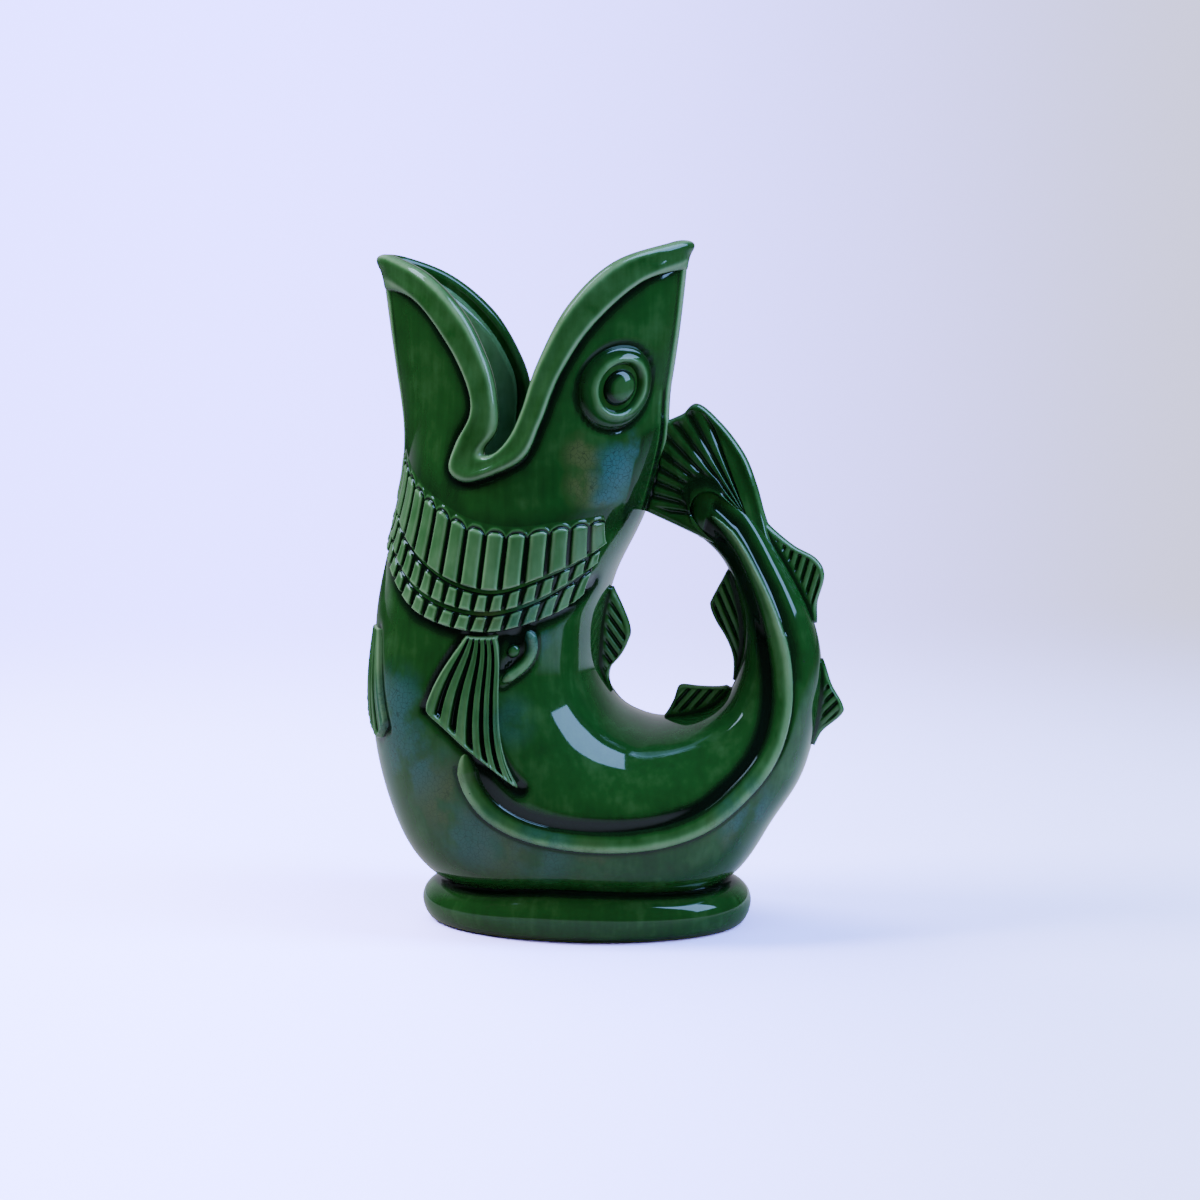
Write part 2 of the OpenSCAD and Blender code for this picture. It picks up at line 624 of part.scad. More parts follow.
body_shell();
mouth_rim();
foot_ring();
tail_tube();
tail_fin();
color("#3f7a45") eye_ring();  // eye_ring_left
color("#3f7a45") right() eye_ring();  // eye_ring_right
color("#5d8f63") eye_pupil();  // eye_pupil_left
color("#5d8f63") right() eye_pupil();  // eye_pupil_right
color("#3f7d4a") upper_plates();  // gill_plates_upper_left
color("#3f7d4a") right() upper_plates();  // gill_plates_upper_right
color("#3f7d4a") middle_plates();  // gill_plates_middle_left
color("#3f7d4a") right() middle_plates();  // gill_plates_middle_right
color("#3f7d4a") lower_plates();  // gill_plates_lower_left
color("#3f7d4a") right() lower_plates();  // gill_plates_lower_right
color("#4a8756") pectoral_fin();  // pectoral_fin_left
color("#4a8756") right() pectoral_fin();  // pectoral_fin_right
color("#4a8756") ventral_fin();  // ventral_fin_left
color("#4a8756") right() ventral_fin();  // ventral_fin_right
color("#3c7a46") gill_flap();  // gill_flap_left
color("#3c7a46") right() gill_flap();  // gill_flap_right
color("#2f6f3a") lateral_line();  // lateral_line_left
color("#2f6f3a") right() lateral_line();  // lateral_line_right
outer_fin_upper();
outer_fin_lower();
inner_fin_body();
inner_fin_upper();
inner_fin_lower();
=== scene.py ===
"""Gurgle jug: a green glazed earthenware pitcher in the shape of an upright fish.

Every piece lies on one surface, FishForm.skin(), whose places are [station, angle]: stations run
down the head and throat and on round the curl of the tail, and the angle goes round the fish,
0 on its back, 90 on its left flank and 180 on its front. Lengths are millimetres until a mesh is
made, and the tables repeat the named values of the part's source.
"""

import logging
import math
from dataclasses import dataclass, field
from enum import Enum

import bmesh
import bpy
import numpy as np
from mathutils import Matrix, Vector

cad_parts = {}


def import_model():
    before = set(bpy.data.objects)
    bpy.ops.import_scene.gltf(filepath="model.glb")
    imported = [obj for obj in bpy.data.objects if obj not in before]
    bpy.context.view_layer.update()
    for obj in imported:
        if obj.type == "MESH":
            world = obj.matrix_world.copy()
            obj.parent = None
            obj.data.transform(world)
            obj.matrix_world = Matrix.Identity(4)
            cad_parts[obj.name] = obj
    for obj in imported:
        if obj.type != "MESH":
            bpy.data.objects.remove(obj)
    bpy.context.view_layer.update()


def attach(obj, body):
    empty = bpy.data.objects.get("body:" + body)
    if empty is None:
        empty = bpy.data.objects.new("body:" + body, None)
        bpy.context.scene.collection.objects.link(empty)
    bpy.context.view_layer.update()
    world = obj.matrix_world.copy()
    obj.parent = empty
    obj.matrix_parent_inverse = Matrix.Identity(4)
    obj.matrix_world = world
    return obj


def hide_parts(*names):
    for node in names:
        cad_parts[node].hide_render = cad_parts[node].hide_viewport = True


Array = np.ndarray
Material, Tree = bpy.types.Material, bpy.types.NodeTree
Node, Socket = bpy.types.Node, bpy.types.NodeSocket
Pair = tuple[float, float]
Triple = tuple[float, float, float]
Span = tuple[float, float, float, float]
Patches = tuple[tuple[float, float, float, float, float], ...]
LOG = logging.getLogger("gurgle_jug")
MM = 0.001
WELD_M = 1e-5
# The glaze's pooling at each point, into which pieces also paint light and shade: painted shade
# darker, painted highlights and reflections paler.
POOL_AND_LIGHT = "glaze_pool_and_light"
SOFT = {"interpolation_type": "SMOOTHSTEP"}
COLLAR_STEP_DEG = 20


class Side(Enum):
    """Which side of the fish a piece lies on: what its Y is times that of the left one."""

    LEFT = 1
    RIGHT = -1


def table(*rows: float | tuple[float, ...]) -> field:
    """A dataclass field that holds rows of shares as an array."""
    return field(default_factory=lambda: np.array(rows, float))


def curve(rows: Array, place: Array | float) -> Array:
    """Smooth curve through the rows of a table.

    Between rows b and c, with neighbours a and d, a point at share f is
    (2b + (c - a)f + (2a - 5b + 4c - d)f^2 + (3b - a - 3c + d)f^3) / 2.

    Args:
        rows: the table, one value or one row of values at each whole place.
        place: where on it, from 0 to its last row.

    Returns:
        The values there, with the shape of place and then that of a row.
    """
    last = len(rows) - 1
    at = np.clip(np.asarray(place, float), 0, last - 1e-6)
    i = np.floor(at).astype(int)
    f = at - i
    b, c = rows[i], rows[i + 1]
    if rows.ndim > 1:
        f = f[..., None]
        first, end = (i > 0)[..., None], (i + 2 <= last)[..., None]
    else:
        first, end = i > 0, i + 2 <= last
    a = np.where(first, rows[np.maximum(i - 1, 0)], 2 * b - c)
    d = np.where(end, rows[np.minimum(i + 2, last)], 2 * c - b)
    square, cube = 2 * a - 5 * b + 4 * c - d, 3 * b - a - 3 * c + d
    return (2 * b + (c - a) * f + square * f**2 + cube * f**3) / 2


def spline(rows: Array, place: Array) -> Array:
    """Natural cubic spline through the values of a table, whose curvature has no jumps.

    Its second derivatives m solve m[i-1] + 4 m[i] + m[i+1] = 6 (y[i-1] - 2 y[i] + y[i+1]).
    """
    n = len(rows)
    m = np.zeros(n)
    band = 4 * np.eye(n - 2) + np.eye(n - 2, k=1) + np.eye(n - 2, k=-1)
    m[1:-1] = np.linalg.solve(band, 6 * (rows[:-2] - 2 * rows[1:-1] + rows[2:]))
    at = np.clip(place, 0, n - 1 - 1e-6)
    i = np.floor(at).astype(int)
    f = at - i
    bend = f * (1 - f) * ((2 - f) * m[i] + (1 + f) * m[i + 1]) / 6
    return rows[i] * (1 - f) + rows[i + 1] * f - bend


def mix(a: Array | float, b: Array | float, share: Array | float) -> Array:
    """The value that lies share of the way from a to b."""
    return a + (b - a) * share


def smooth(low: float, high: float, value: Array) -> Array:
    """Rises smoothly from 0 at low to 1 at high: 3s^2 - 2s^3 of the share s between them."""
    s = np.clip((value - low) / (high - low), 0, 1)
    return s * s * (3 - 2 * s)


def between(start: Pair, end: Pair, value: Array) -> Array:
    """Rises smoothly from 0 to 1 over the range start, and falls back over the range end."""
    return smooth(*start, value) * (1 - smooth(*end, value))


def ridge(value: Array, middle: Array | float, width: float) -> Array:
    """A soft ridge of height 1: exp(-((value - middle) / width)^2)."""
    return np.exp(-(((value - middle) / width) ** 2))


def rounded(inwards: Array, width: float) -> Array:
    """A quarter round of height 1 in from an edge: sqrt(1 - (1 - s)^2) of the share s of width."""
    return np.sqrt(np.maximum(0, 1 - (1 - np.clip(inwards / width, 0, 1)) ** 2))


def blurred(height: Array, passes: int) -> Array:
    """Smooths a grid by passes of the weights 1, 2, 1 over 4, along both ways.

    Args:
        height: the grid.
        passes: each adds half a cell squared to the variance.

    Returns:
        The smoothed grid.
    """
    out = height
    for _ in range(passes):
        up = np.pad(out, ((1, 1), (0, 0)), mode="edge")
        out = (up[:-2] + 2 * up[1:-1] + up[2:]) / 4
        across = np.pad(out, ((0, 0), (1, 1)), mode="edge")
        out = (across[:, :-2] + 2 * across[:, 1:-1] + across[:, 2:]) / 4
    return out


@dataclass
class FishForm:
    """The driving sizes of the jug, and the surface of the fish.

    Front, back and flank have a row for each station, as shares of belly_reach and of half the
    width, and the pinches draw the section in. A row of lip is the station and the angle of the
    lip's outer edge and of its top edge, and where between them the wall's columns start.
    """

    jug_h: float = 246
    belly_reach: float = 109
    jug_w: float = 99
    wall: float = 4.5
    hole_x: float = 31
    under_z: float = 12
    under_share: float = 0.789
    head_n: int = 9
    turn_step_deg: float = 15
    blend_n: float = 0.9
    tube_start_n: int = 17
    tube_end_n: int = 26
    tube_cap_share: float = 0.5
    throat_n: float = 6
    throat_lean_deg: float = 11
    keel_h: float = 2.1
    keel_from_n: Pair = (3.0, 4.4)
    keel_to_n: Pair = (5.9, 7.3)
    keel_off: Pair = (2, 24)
    halvings: int = 18
    front: Array = table(
        0.968, 0.950, 0.930, 0.908, 0.888, 0.893, 0.920, 0.955, 0.983, 0.998, 1.030, 1.072,
        1.070, 0.911, 0.822, 0.789, 0.765, 0.656, 0.596, 0.546, 0.514, 0.498, 0.487, 0.483,
        0.500, 0.540, 0.587)
    back: Array = table(
        -0.050, -0.035, -0.017, 0.006, 0.034, 0.068, 0.116, 0.174, 0.220, 0.235, 0.237, 0.235,
        0.233, 0.223, 0.215, 0.206, 0.205, 0.211, 0.220, 0.226, 0.228, 0.234, 0.248, 0.271,
        0.307, 0.358, 0.402)
    flank: Array = table(
        0.650, 0.665, 0.690, 0.720, 0.758, 0.788, 0.828, 0.879, 0.929, 0.960, 0.990, 1.000,
        0.990, 0.970, 0.939, 0.889, 0.798, 0.677, 0.556, 0.455, 0.380, 0.333, 0.300, 0.275,
        0.240, 0.180, 0.100)
    front_pinch: Array = table(
        0.50, 0.48, 0.42, 0.34, 0.24, 0.14, 0.04, 0, 0, 0, 0, -0.04, -0.20, -0.40, -0.40, -0.35,
        -0.20, -0.05, 0, 0, 0, 0, 0, 0, 0, 0, 0)
    back_pinch: Array = table(
        0.50, 0.48, 0.42, 0.36, 0.26, 0.14, 0.04, 0, 0, 0, 0, 0, 0, 0, 0, 0, 0, 0, 0, 0, 0, 0, 0,
        0, 0, 0, 0)
    lip: Array = table(
        (0.92, 204, 0.36, 204, 0.5), (0.80, 180, 0.30, 180, 0.5), (0.92, 156, 0.36, 156, 0.5),
        (1.38, 135, 0.75, 132, 0.5), (2.23, 120, 1.55, 114, 0.5), (3.10, 111, 2.60, 103, 0.5),
        (3.70, 110, 3.40, 99, 0.4), (4.30, 117, 4.00, 99, 0.6), (4.85, 119, 4.40, 104, 0.8),
        (5.11, 109, 4.55, 102, 0.8), (4.92, 95, 4.46, 96, 0.6), (4.57, 83, 4.10, 90, 0.5),
        (3.84, 78, 3.53, 86, 0.5), (2.82, 72, 2.60, 81, 0.5), (1.76, 60, 1.33, 69, 0.5),
        (0.90, 41, 0.43, 50, 0.5), (0.50, 16, 0.05, 20, 0.5), (0.42, 0, 0.00, 0, 0.5),
        (0.50, -16, 0.05, -20, 0.5))

    def __post_init__(self) -> None:
        """Works out the height of the hole's middle, the lip's last place and the fish's middle.

        The middle is halfway between front and back, evened out along the fish by twice the
        weights 1, 2, 1 over 4, so that a turn of the front line does not dent the back.
        """
        self.hole_z = self.under_z + self.under_share * self.belly_reach
        self.lip_n = len(self.lip) - 3
        self.middle = blurred((self.front[:, None] + self.back[:, None]) / 2, 2)[:, 0]

    def lines(self, station: Array) -> tuple[Array, ...]:
        """How far front, back and middle are from the hole's middle, and the fish's half width."""
        rows = (self.front, self.back, self.middle)
        reach = (spline(v, station) * self.belly_reach for v in rows)
        return (*reach, spline(self.flank, station) * self.jug_w / 2)

    def section(self, station: Array, c: Array) -> Array:
        """Half thickness at share c from middle to back: sqrt(1 - c^2) (1 - pinch c^2)."""
        pinch = np.where(c > 0, curve(self.back_pinch, station), curve(self.front_pinch, station))
        return np.sqrt(np.maximum(0, 1 - c * c)) * (1 - pinch * c * c)

    def skin(self, station: Array, angle: Array, rise: Array | float = 0) -> Array:
        """A point on the fish, out from its surface by rise.

        The section at a station is an oval between the fish's front and its back, drawn in
        towards both. In the head the sections lie level, one below the other. In the curl they
        stand round the hole's middle, and each station is turn_step_deg further round. One way
        passes into the other over blend_n stations each side of head_n.

        Args:
            station: how far down the fish.
            angle: how far round it, in degrees.
            rise: height above the surface in millimetres.

        Returns:
            Points in millimetres, one for each place.
        """
        places = (np.asarray(v, float) for v in (station, angle, rise))
        station, angle, rise = np.broadcast_arrays(*places)
        front, back, middle, flank = self.lines(station)
        c = np.cos(np.radians(angle))
        r = middle - (np.where(c > 0, middle - back, front - middle) + rise) * c
        y = -np.sign(np.sin(np.radians(angle))) * (flank + rise) * self.section(station, c)
        turn = np.radians(180 + (station - self.head_n) * self.turn_step_deg)
        curled = smooth(self.head_n - self.blend_n, self.head_n + self.blend_n, station)
        z_head = self.jug_h - (self.jug_h - self.hole_z) * station / self.head_n
        x = mix(self.hole_x - r, self.hole_x + r * np.cos(turn), curled)
        z = mix(z_head, self.hole_z + r * np.sin(turn), curled)
        return np.stack([x, y, z], -1)

    def keel(self, station: Array, off: Array) -> Array:
        """Height of the swelling on the head's back under the tail fin, off mm from its middle."""
        along = smooth(*self.keel_from_n, station) - smooth(*self.keel_to_n, station)
        return self.keel_h * along * (1 - smooth(*self.keel_off, off))

    def round_end(self, end: Array | float, turn: Array, angle: Array, rise: float) -> Array:
        """A point on the tail's round end: turn is 0 at its side and a right angle at its tip."""
        at = end + self.tube_cap_share * np.sin(turn)
        middle = (self.skin(at, 0, rise) + self.skin(at, 180, rise)) / 2
        return mix(middle, self.skin(at, angle, rise), np.cos(turn)[..., None])

    def lengths(self, station: Array, angle: Array) -> tuple[Array, Array]:
        """Millimetres in one station and in one degree at a place, from a small step each way."""
        step = 0.01
        down = self.skin(station + step, angle) - self.skin(station - step, angle)
        round_ = self.skin(station, angle + step) - self.skin(station, angle - step)
        down, round_ = (np.linalg.norm(way, axis=-1) / (2 * step) for way in (down, round_))
        return down, round_

    def spot(self, station: Array, angle: Array, along: Array, across: Array, rise: Array) -> Array:
        """The point along (round the fish) and across (down it) in millimetres from a place."""
        down, round_ = self.lengths(station, angle)
        return self.skin(station + across / down, angle + along / round_, rise)

    def lip_place(self, t: Array, share: Array | float) -> tuple[Array, Array]:
        """Place on the lip's left half, share of the way from its outer to its top edge."""
        row = curve(self.lip, np.asarray(t, float) + 1)
        return mix(row[..., 0], row[..., 2], share), mix(row[..., 1], row[..., 3], share)

    def wall_place(self, t: Array, down: Array) -> tuple[Array, Array]:
        """Column of the wall below a place on the lip: down is 0 at the lip, 1 at the throat."""
        seat = curve(self.lip, t + 1)[..., 4]
        station, angle = self.lip_place(t, seat)
        foot = 180 * (1 - t / self.lip_n) + self.throat_lean_deg * np.sin(np.pi * t / self.lip_n)
        return mix(station, self.throat_n, down), mix(angle, foot, down)

    def inside(self, x: Array, y: Array, z: Array) -> Array:
        """Whether a point below the hole's middle is inside the fish."""
        dx, dz = x - self.hole_x, z - self.hole_z
        station = self.head_n + (np.degrees(np.arctan2(dz, dx)) % 360 - 180) / self.turn_step_deg
        front, back, middle, flank = self.lines(station)
        inwards = middle - np.hypot(dx, dz)
        c = inwards / np.where(inwards > 0, middle - back, front - middle)
        return (np.abs(c) < 1) & (np.abs(y) < flank * self.section(station, np.clip(c, -1, 1)))

    def underside(self, x: Array, y: Array) -> Array:
        """Height of the fish's underside above points of the table, found by halving."""
        low, high = np.zeros_like(x), np.full_like(x, self.hole_z - self.belly_reach / 2)
        for _ in range(self.halvings):
            middle = (low + high) / 2
            within = self.inside(x, y, middle)
            low, high = np.where(within, low, middle), np.where(within, middle, high)
        return low


def collar(edge: Array, angle: Array) -> Array:
    """Stations of one of the collar's edges at given angles."""
    return curve(edge, angle / COLLAR_STEP_DEG)


@dataclass
class Places:
    """Tables of places on the left side of the skin that more than one piece follows.

    The collar's four edges are stations, one for each COLLAR_STEP_DEG of angle. The rest are
    stations and angles.
    """

    collar_top: Array = table(5.75, 5.85, 5.93, 6.01, 6.10, 5.98, 5.62, 5.20, 4.72, 4.45)
    collar_middle: Array = table(5.90, 6.20, 6.71, 7.09, 7.36, 7.22, 6.83, 6.29, 5.68, 5.30)
    collar_lower: Array = table(6.30, 6.60, 7.13, 7.59, 7.82, 7.72, 7.40, 6.86, 6.20, 5.85)
    collar_end: Array = table(6.80, 7.12, 7.76, 8.08, 8.24, 8.14, 7.84, 7.22, 6.65, 6.35)
    pectoral_root: Array = table((8.33, 91), (8.36, 87), (8.38, 83), (8.39, 79), (8.38, 75))
    pectoral_edge: Array = table(
        (9.70, 108), (10.15, 97.5), (10.75, 89), (11.25, 84.6), (11.78, 82.2))
    ventral_root: Array = table((8.40, 164), (8.42, 161), (8.43, 158), (8.44, 154), (8.45, 150))
    ventral_edge: Array = table((9.55, 168), (9.78, 161), (9.95, 153), (10.05, 145), (9.90, 136))
    line: Array = table(
        (10.62, 93), (11.1, 96.6), (11.6, 98), (12.1, 98), (12.6, 98), (13.3, 98), (14.1, 98),
        (15.0, 98), (15.8, 98.5), (16.6, 101), (17.4, 104.4), (18.1, 106.5), (18.8, 106.3),
        (19.6, 103.2), (20.5, 97.4), (21.4, 92.5), (22.3, 88), (23.3, 85), (24.2, 83), (25.0, 87),
        (25.9, 97))
    flap: Array = table(
        (8.22, 60.5), (8.42, 57.6), (8.66, 57.2), (8.92, 60), (9.14, 65), (9.30, 70))
    flap_hollow: Array = table((8.36, 66), (8.55, 65.5), (8.80, 64.5), (9.00, 67))
    eye: Pair = (3.10, 45.6)
    eye_r: float = 14.5


FORM = FishForm()
PLACES = Places()


@dataclass
class Shape:
    """A mesh in the making: points in millimetres, faces, and the glaze's pooling, with light and
    shade painted into it in places.
    """

    points: Array
    pool: Array
    quads: Array
    triangles: Array = field(default_factory=lambda: np.zeros((0, 3), int))
    caps: list[Array] = field(default_factory=list)
    flat: Array = field(default_factory=lambda: np.zeros(0, int))

    def volume(self) -> float:
        """Six times the signed volume: above 0 where the faces point outwards."""
        q, t = self.quads, self.triangles
        parts = [q[:, [0, 1, 2]], q[:, [0, 2, 3]], t]
        parts += [np.stack([np.full(len(c) - 2, c[0]), c[1:-1], c[2:]], -1) for c in self.caps]
        a, b, c = (self.points[np.concatenate(parts)][:, i] for i in range(3))
        return float(np.einsum("ij,ij->", a, np.cross(b, c)))

    def outward(self) -> "Shape":
        """Turns every face round where the shape is inside out."""
        if self.volume() < 0:
            self.quads, self.triangles = self.quads[:, ::-1], self.triangles[:, ::-1]
            self.caps = [c[::-1] for c in self.caps]
        return self

    def mirrored(self, side: Side) -> "Shape":
        """The same shape on the given side of the fish."""
        points = self.points * np.array([1, side.value, 1])
        return Shape(points, self.pool, self.quads, self.triangles, self.caps, self.flat).outward()

    def joined(self, other: "Shape") -> "Shape":
        """Both shapes as one."""
        n = len(self.points)
        return Shape(
            np.concatenate([self.points, other.points]), np.concatenate([self.pool, other.pool]),
            np.concatenate([self.quads, other.quads + n]),
            np.concatenate([self.triangles, other.triangles + n]),
            self.caps + [c + n for c in other.caps],
            np.concatenate([self.flat, other.flat + len(self.quads)]))


def grid_quads(m: int, n: int, wrap_rows: bool = False, wrap_columns: bool = False) -> Array:
    """Quads between the points of an m by n grid, row by row."""
    rows, columns = np.arange(m if wrap_rows else m - 1), np.arange(n if wrap_columns else n - 1)
    i, j = np.meshgrid(rows, columns, indexing="ij")
    i2, j2 = (i + 1) % m, (j + 1) % n
    return np.stack([i * n + j, i2 * n + j, i2 * n + j2, i * n + j2], -1).reshape(-1, 4)


def looped(points: Array, pool: Array, wrap: bool = False, seams: tuple[int, ...] = ()) -> Shape:
    """A solid through loops of points, each closed.

    Args:
        points: m loops of n points.
        pool: the glaze's pooling at each point, with painted light and shade in places.
        wrap: whether the last loop joins the first. Otherwise a fan closes each end.
        seams: loops whose strip to the next one closes a cut edge, and is shaded flat.

    Returns:
        The closed shape.
    """
    m, n = points.shape[:2]
    quads = grid_quads(m, n, wrap, True)
    cut = np.array([np.arange(i * n, (i + 1) * n) for i in seams], int).reshape(-1)
    flat, p = points.reshape(-1, 3), pool.reshape(-1)
    if wrap:
        return Shape(flat, p, quads, flat=cut).outward()
    j = np.arange(n)
    first = np.stack([np.full(n, m * n), j, (j + 1) % n], -1)
    last = np.stack([np.full(n, m * n + 1), (m - 1) * n + (j + 1) % n, (m - 1) * n + j], -1)
    flat = np.concatenate([flat, points[0].mean(0)[None], points[-1].mean(0)[None]])
    p = np.concatenate([p, [pool[0].mean(), pool[-1].mean()]])
    return Shape(flat, p, quads, np.concatenate([first, last]), flat=cut).outward()


def patch(top: Array, pool: Array, low: Array) -> Shape:
    """A thin solid with a fine top and a coarse underside that lies in the wall.

    Args:
        top: m rows of n points.
        pool: the glaze's pooling at each of them, with painted light and shade in places.
        low: m rows of k points of the underside, from the top's first column to its last.

    Returns:
        The closed shape: strips join the underside to the top's first and last columns, and a
        cap closes each end.
    """
    m, n = top.shape[:2]
    k = low.shape[1]
    rows = np.arange(m)[:, None]
    chain = np.concatenate([rows * n, m * n + rows * k + np.arange(k), rows * n + n - 1], 1)
    under = np.stack([chain[:-1, :-1], chain[:-1, 1:], chain[1:, 1:], chain[1:, :-1]], -1)
    j = np.arange(n)
    caps = [np.concatenate([j, chain[0, 1:-1][::-1]]),
            np.concatenate([((m - 1) * n + j)[::-1], chain[-1, 1:-1]])]
    points = np.concatenate([top.reshape(-1, 3), low.reshape(-1, 3)])
    p = np.concatenate([pool.reshape(-1), np.zeros(m * k)])
    quads = np.concatenate([grid_quads(m, n), under.reshape(-1, 4)])
    return Shape(points, p, quads, caps=caps).outward()


def blade(middle: Array, half: Array, pool: Array) -> Shape:
    """A solid that stands on the fish's middle plane, half thick to each side.

    Args:
        middle: m rows of n points in the plane.
        half: half the thickness at each point. It falls to 0 at the free edges.
        pool: the glaze's pooling at each point, with painted light and shade in places.

    Returns:
        The closed shape: two grids and strips between their borders.
    """
    m, n = half.shape
    up = half[..., None] * np.array([0, 1, 0])
    k = m * n
    grid = grid_quads(m, n)
    ring = np.concatenate([
        np.arange(n), np.arange(1, m) * n + n - 1, (m - 1) * n + np.arange(n - 2, -1, -1),
        np.arange(m - 2, 0, -1) * n])
    nxt = np.roll(ring, -1)
    border = np.stack([ring, nxt, nxt + k, ring + k], -1)
    points = np.concatenate([(middle + up).reshape(-1, 3), (middle - up).reshape(-1, 3)])
    pools = np.concatenate([pool.reshape(-1)] * 2)
    return Shape(points, pools, np.concatenate([grid, grid[:, ::-1] + k, border])).outward()


def make_piece(name: str, shape: Shape, finish: Material, *nodes: str, weld: bool = False) -> None:
    """Makes a Blender object of a shape, at the origin, under the root, and hides the CAD nodes
    that it replaces.

    Args:
        name: the piece's name.
        shape: its mesh in millimetres.
        finish: its material.
        nodes: the CAD nodes that it replaces.
        weld: whether points that meet, along the thin edges of a blade, become one.
    """
    faces = [shape.quads, shape.triangles, *(cap[None] for cap in shape.caps)]
    sizes = np.concatenate([np.full(len(f), f.shape[1]) for f in faces])
    corners = np.concatenate([f.reshape(-1) for f in faces]).astype(np.int32)
    mesh = bpy.data.meshes.new(name)
    mesh.vertices.add(len(shape.points))
    mesh.vertices.foreach_set("co", (shape.points * MM).astype(np.float32).reshape(-1))
    mesh.loops.add(len(corners))
    mesh.loops.foreach_set("vertex_index", corners)
    mesh.polygons.add(len(sizes))
    starts = np.concatenate([[0], np.cumsum(sizes)[:-1]]).astype(np.int32)
    mesh.polygons.foreach_set("loop_start", starts)
    mesh.update(calc_edges=True)
    pool = mesh.attributes.new(POOL_AND_LIGHT, "FLOAT", "POINT")
    pool.data.foreach_set("value", shape.pool.astype(np.float32))
    if weld:
        bm = bmesh.new()
        bm.from_mesh(mesh)
        bmesh.ops.remove_doubles(bm, verts=bm.verts, dist=WELD_M)
        bmesh.ops.dissolve_degenerate(bm, edges=bm.edges, dist=WELD_M / 10)
        bm.to_mesh(mesh)
        bm.free()
    smooth_face = np.ones(len(mesh.polygons), bool)
    smooth_face[shape.flat] = False
    mesh.polygons.foreach_set("use_smooth", smooth_face)
    mesh.validate()
    mesh.update()
    mesh.materials.append(finish)
    piece = bpy.data.objects.new(name, mesh)
    bpy.context.scene.collection.objects.link(piece)
    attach(piece, "root")
    if nodes:
        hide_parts(*nodes)
    LOG.info("%s: %d points, %d faces", name, len(mesh.vertices), len(mesh.polygons))


def make_pairs(finish: Material, *parts: tuple[str, Shape], prefix: str = "") -> None:
    """Makes named shapes on both sides of the fish, for the CAD nodes of that name and side."""
    for side in Side:
        for name, shape in parts:
            stem = f"{name}_{side.name.lower()}"
            make_piece(f"{stem}_glazed", shape.mirrored(side), finish, f"{prefix}{stem}")


@dataclass
class Part:
    """A part of the jug, shaped on the surface of the fish, and its finish."""

    form: FishForm
    finish: Material

    def build(self) -> None:
        """Makes the part's pieces."""
        raise NotImplementedError


def nearest(points: Array, line: Array, reach: float = 9, at_once: int = 4_000_000) -> Array:
    """Distance in millimetres of each point to a dense row of points, or 99 well out of reach.

    The distances are worked out in parts of about at_once at a time, to spare memory.
    """
    out = np.full(len(points), 99.0)
    low, high = line.min(0) - reach, line.max(0) + reach
    close = np.flatnonzero(((points > low) & (points < high)).all(1))
    for part in np.array_split(close, max(1, len(close) * len(line) // at_once)):
        gap = points[part][:, None] - line[None]
        out[part] = np.sqrt(np.einsum("ijk,ijk->ij", gap, gap).min(1))
    return out


# ---------------------------------------------------------------------------------------------
# Finishes


def linear(code: str, alpha: float = 1) -> Span:
    """An sRGB hex colour as linear values: ((v + 0.055) / 1.055)^2.4, or v / 12.92 when dark."""
    values = [int(code.lstrip("#")[i : i + 2], 16) / 255 for i in (0, 2, 4)]
    r, g, b = (v / 12.92 if v <= 0.04045 else ((v + 0.055) / 1.055) ** 2.4 for v in values)
    return r, g, b, alpha


def add(tree: Tree, kind: str, sockets: dict | tuple = (), **settings: object) -> Node:
    """Adds a shader node to a tree.

    Args:
        tree: the node tree.
        kind: the node's type, without ShaderNode before it.
        sockets: for each input, by name or number or in order, its value, an output to link to
            it, or a node whose first output is linked to it.
        settings: the node's own settings.

    Returns:
        The node.
    """
    node = tree.nodes.new(f"ShaderNode{kind}")
    for key, value in settings.items():
        setattr(node, key, value)
    for key, value in sockets.items() if isinstance(sockets, dict) else enumerate(sockets):
        if isinstance(value, (Node, Socket)):
            output = value if isinstance(value, Socket) else value.outputs[0]
            tree.links.new(output, node.inputs[key])
        else:
            node.inputs[key].default_value = value
    return node


def set_ramp(node: Node, stops: tuple[tuple[float, str], ...]) -> None:
    """Sets a colour ramp's stops: place and hex colour of each."""
    ramp = node.color_ramp
    while len(ramp.elements) < len(stops):
        ramp.elements.new(0.5)
    for element, (place, code) in zip(ramp.elements, stops):
        element.position = place
        element.color = linear(code)


